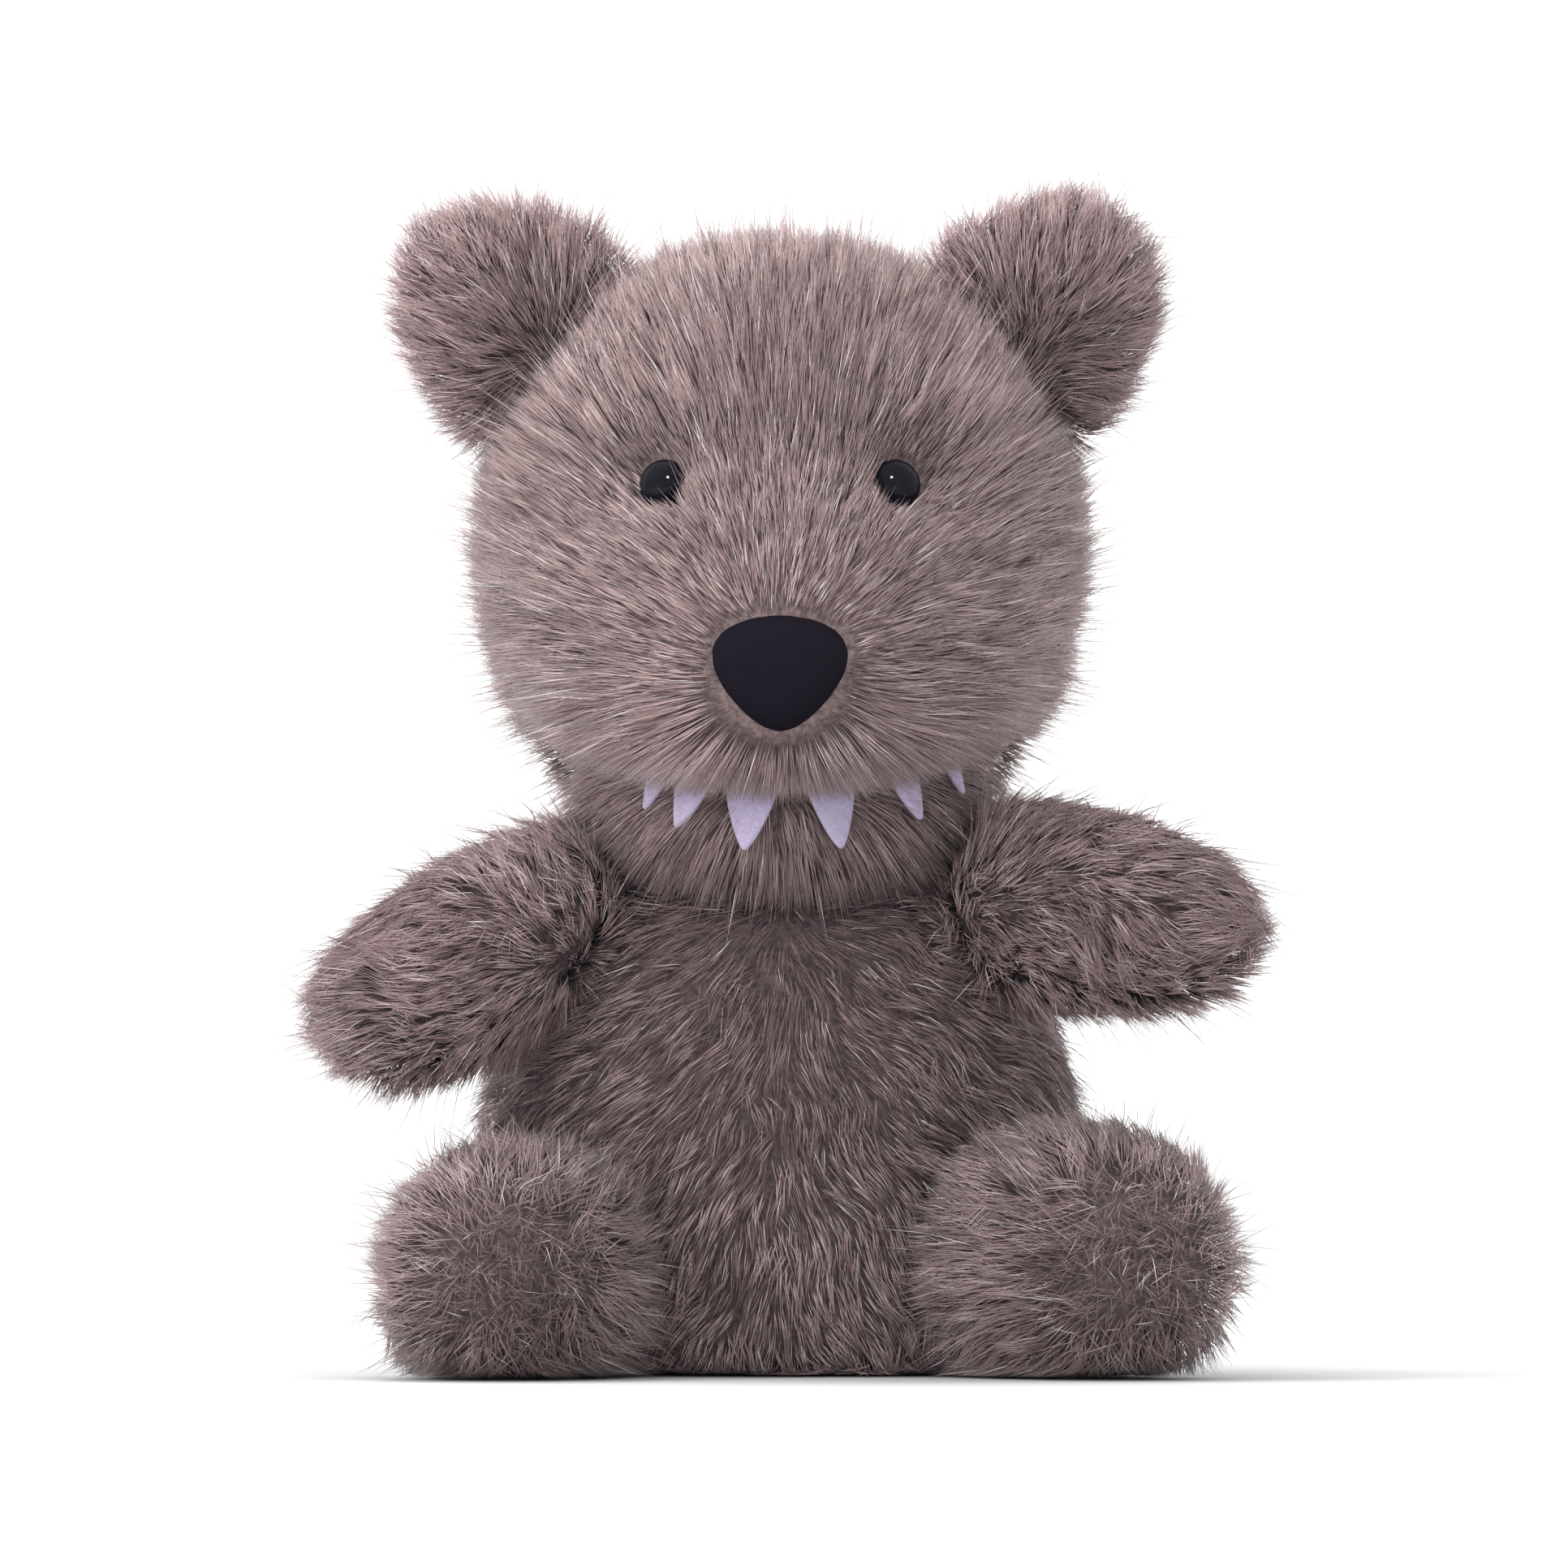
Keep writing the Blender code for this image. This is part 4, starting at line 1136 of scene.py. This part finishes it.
# %% Arms
ARM_HAIRS = 9500
ARM_LEAN, ARM_PILE, ARM_DROOP = radians(64), 0.0115, 0.15
ARM_COAT = {"lock_pull": 0.35, "stray": 0.12, "lock_stray": 0.18,
            "swirl_size": 0.028, "swirl_amount": 0.30, "width": 0.00024}
FLOOR_CLEARANCE = 0.0004

body_middle = middle_of("body")


def above_floor(hairs):
    """Keeps every hair off the floor that the wolf sits on."""
    for part in hairs[:3]:
        part[:, 2] = np.maximum(part[:, 2], FLOOR_CLEARANCE)
    return hairs


for side in SIDES:
    arm = f"arm_{side}"
    # The arm's pile gets painted shade round its shoulder seam.
    comb = away_comb(seam_middle(arm, body_middle), ARM_LEAN, ARM_PILE, ARM_DROOP)
    hairs = grow(bags[arm], ARM_HAIRS, comb, chance, **ARM_COAT)
    hairs_to_piece(f"{arm}_fur", above_floor(hairs), hair["limb"], chance)

# %% [markdown]
# ## Legs and feet
#
# On the legs the pile runs the other way: from the middle of the sole outwards and back to the
# hip. The middle of each sole is tangled by handling and shorter, and darker by painted shade,
# and the rest gets painted light and is a little paler, because the legs reach forward into the
# light. Each sole's middle is given across and up as it is seen from the front, and a ray from
# there finds the sole's surface.

# %% Legs
LEG_HAIRS = 10500
SOLE_PLACES = {"right": (-0.0477, 0.0185), "left": (0.0640, 0.0215)}
TANGLE_SIZE = 0.015
TANGLE_SEED = 8
BACKWARD_PULL = 0.02
LEG_LEAN, TANGLE_FLATTER = radians(59), radians(7)
LEG_PILE, TANGLE_SHORTER = 0.0128, 0.0045
LEG_DROOP = 0.12
TANGLE_SHADE, LEG_GLOW = 0.65, 0.15
LEG_COAT = {"lock_pull": 0.42, "stray": 0.12, "lock_stray": 0.22,
            "swirl_size": 0.024, "swirl_amount": 0.30, "width": 0.00024}


def foot_comb(sole, back):
    """Out and back from the sole's middle, which is tangled."""
    def comb(root, outward):
        reach = root - sole
        tangled = fading(np.linalg.norm(reach, axis=1), TANGLE_SIZE)
        tangle = np.random.default_rng(TANGLE_SEED).normal(size=root.shape)
        lie = unit(reach + back * BACKWARD_PULL) * (1 - tangled[:, None]) + tangle * tangled[:, None]
        # TANGLE_SHADE paints shade into the tangle; LEG_GLOW is painted light on the rest of the
        # leg.
        return (lie, LEG_LEAN + TANGLE_FLATTER * tangled, LEG_PILE - TANGLE_SHORTER * tangled,
                np.full(len(root), LEG_DROOP), TANGLE_SHADE * tangled - LEG_GLOW)
    return comb


for side in SIDES:
    leg = f"leg_{side}"
    hip = seam_middle(leg, body_middle)
    across, up = SOLE_PLACES[side]
    skin = BVHTree.FromBMesh(mesh_of(bags[leg]))
    sole = np.array(skin.ray_cast((across, -1, up), (0, 1, 0))[0])
    comb = foot_comb(sole, unit((hip - sole)[None])[0])
    hairs = grow(bags[leg], LEG_HAIRS, comb, chance, **LEG_COAT)
    hairs_to_piece(f"{leg}_fur", above_floor(hairs), hair["limb"], chance)

# %% [markdown]
# ## Tail
#
# The photograph doesn't show the tail. It is finished plainly: pile that runs from the seam to
# the tip, with fewer and broader hairs, as on the rest of the back.

# %% Tail
TAIL_HAIRS = 2500
TAIL_LEAN, TAIL_PILE, TAIL_DROOP = radians(56), 0.0100, 0.10
TAIL_COAT = {"lock_pull": 0.3, "stray": 0.12, "lock_stray": 0.16, "width": 0.00030}

# The tail's pile gets painted shade round its seam.
tail_comb = away_comb(seam_middle("tail", body_middle), TAIL_LEAN, TAIL_PILE, TAIL_DROOP)
tail_hairs = grow(bags["tail"], TAIL_HAIRS, tail_comb, chance, **TAIL_COAT)
hairs_to_piece("tail_fur", above_floor(tail_hairs), hair["body"], chance)

# %% [markdown]
# ## The body's coat
#
# The pile of the belly falls from under the chin in a fan, parted in the middle, in small
# pointed locks. A painted shadow makes it darkest under the chin, and painted light makes it
# paler near the floor, where the light that the floor throws back reaches it.

# %% Body
BODY_HAIRS = 30000
CHIN = np.array((0.0, -0.045, 0.105))
CHIN_SHADE, CHIN_SHADE_SIZE = 0.85, 0.032
PARTING_WIDTH, PARTING_PULL = 0.010, 0.35
LOW_GLOW, LOW_GLOW_TOP, LOW_GLOW_FADE = 0.55, 0.050, 0.035
BODY_LEAN, BODY_PILE, BODY_DROOP = radians(64), 0.0098, 0.03
BODY_COAT = {"hairs_per_lock": 8, "lock_pull": 0.45, "stray": 0.10, "lock_stray": 0.18,
             "swirl_size": 0.020, "swirl_amount": 0.20, "width": 0.00024}


def body_comb(root, outward):
    """A fan from under the chin, parted in front."""
    count = len(root)
    parted = np.tanh(root[:, 0] / PARTING_WIDTH) * (-outward[:, 1]).clip(0, 1)
    lie = unit(root - CHIN) + parted[:, None] * (PARTING_PULL, 0, 0)
    # Painted shadow under the chin, and painted light low down from the floor's bounce.
    shade = CHIN_SHADE * fading(np.linalg.norm(root - CHIN, axis=1), CHIN_SHADE_SIZE)
    shade = shade - LOW_GLOW * falling(root[:, 2], LOW_GLOW_TOP, LOW_GLOW_FADE)
    return (lie, np.full(count, BODY_LEAN), np.full(count, BODY_PILE),
            np.full(count, BODY_DROOP), shade)


body_hairs = grow(bags["body"], BODY_HAIRS, body_comb, chance, **BODY_COAT)
hairs_to_piece("body_fur", above_floor(body_hairs), hair["body"], chance)
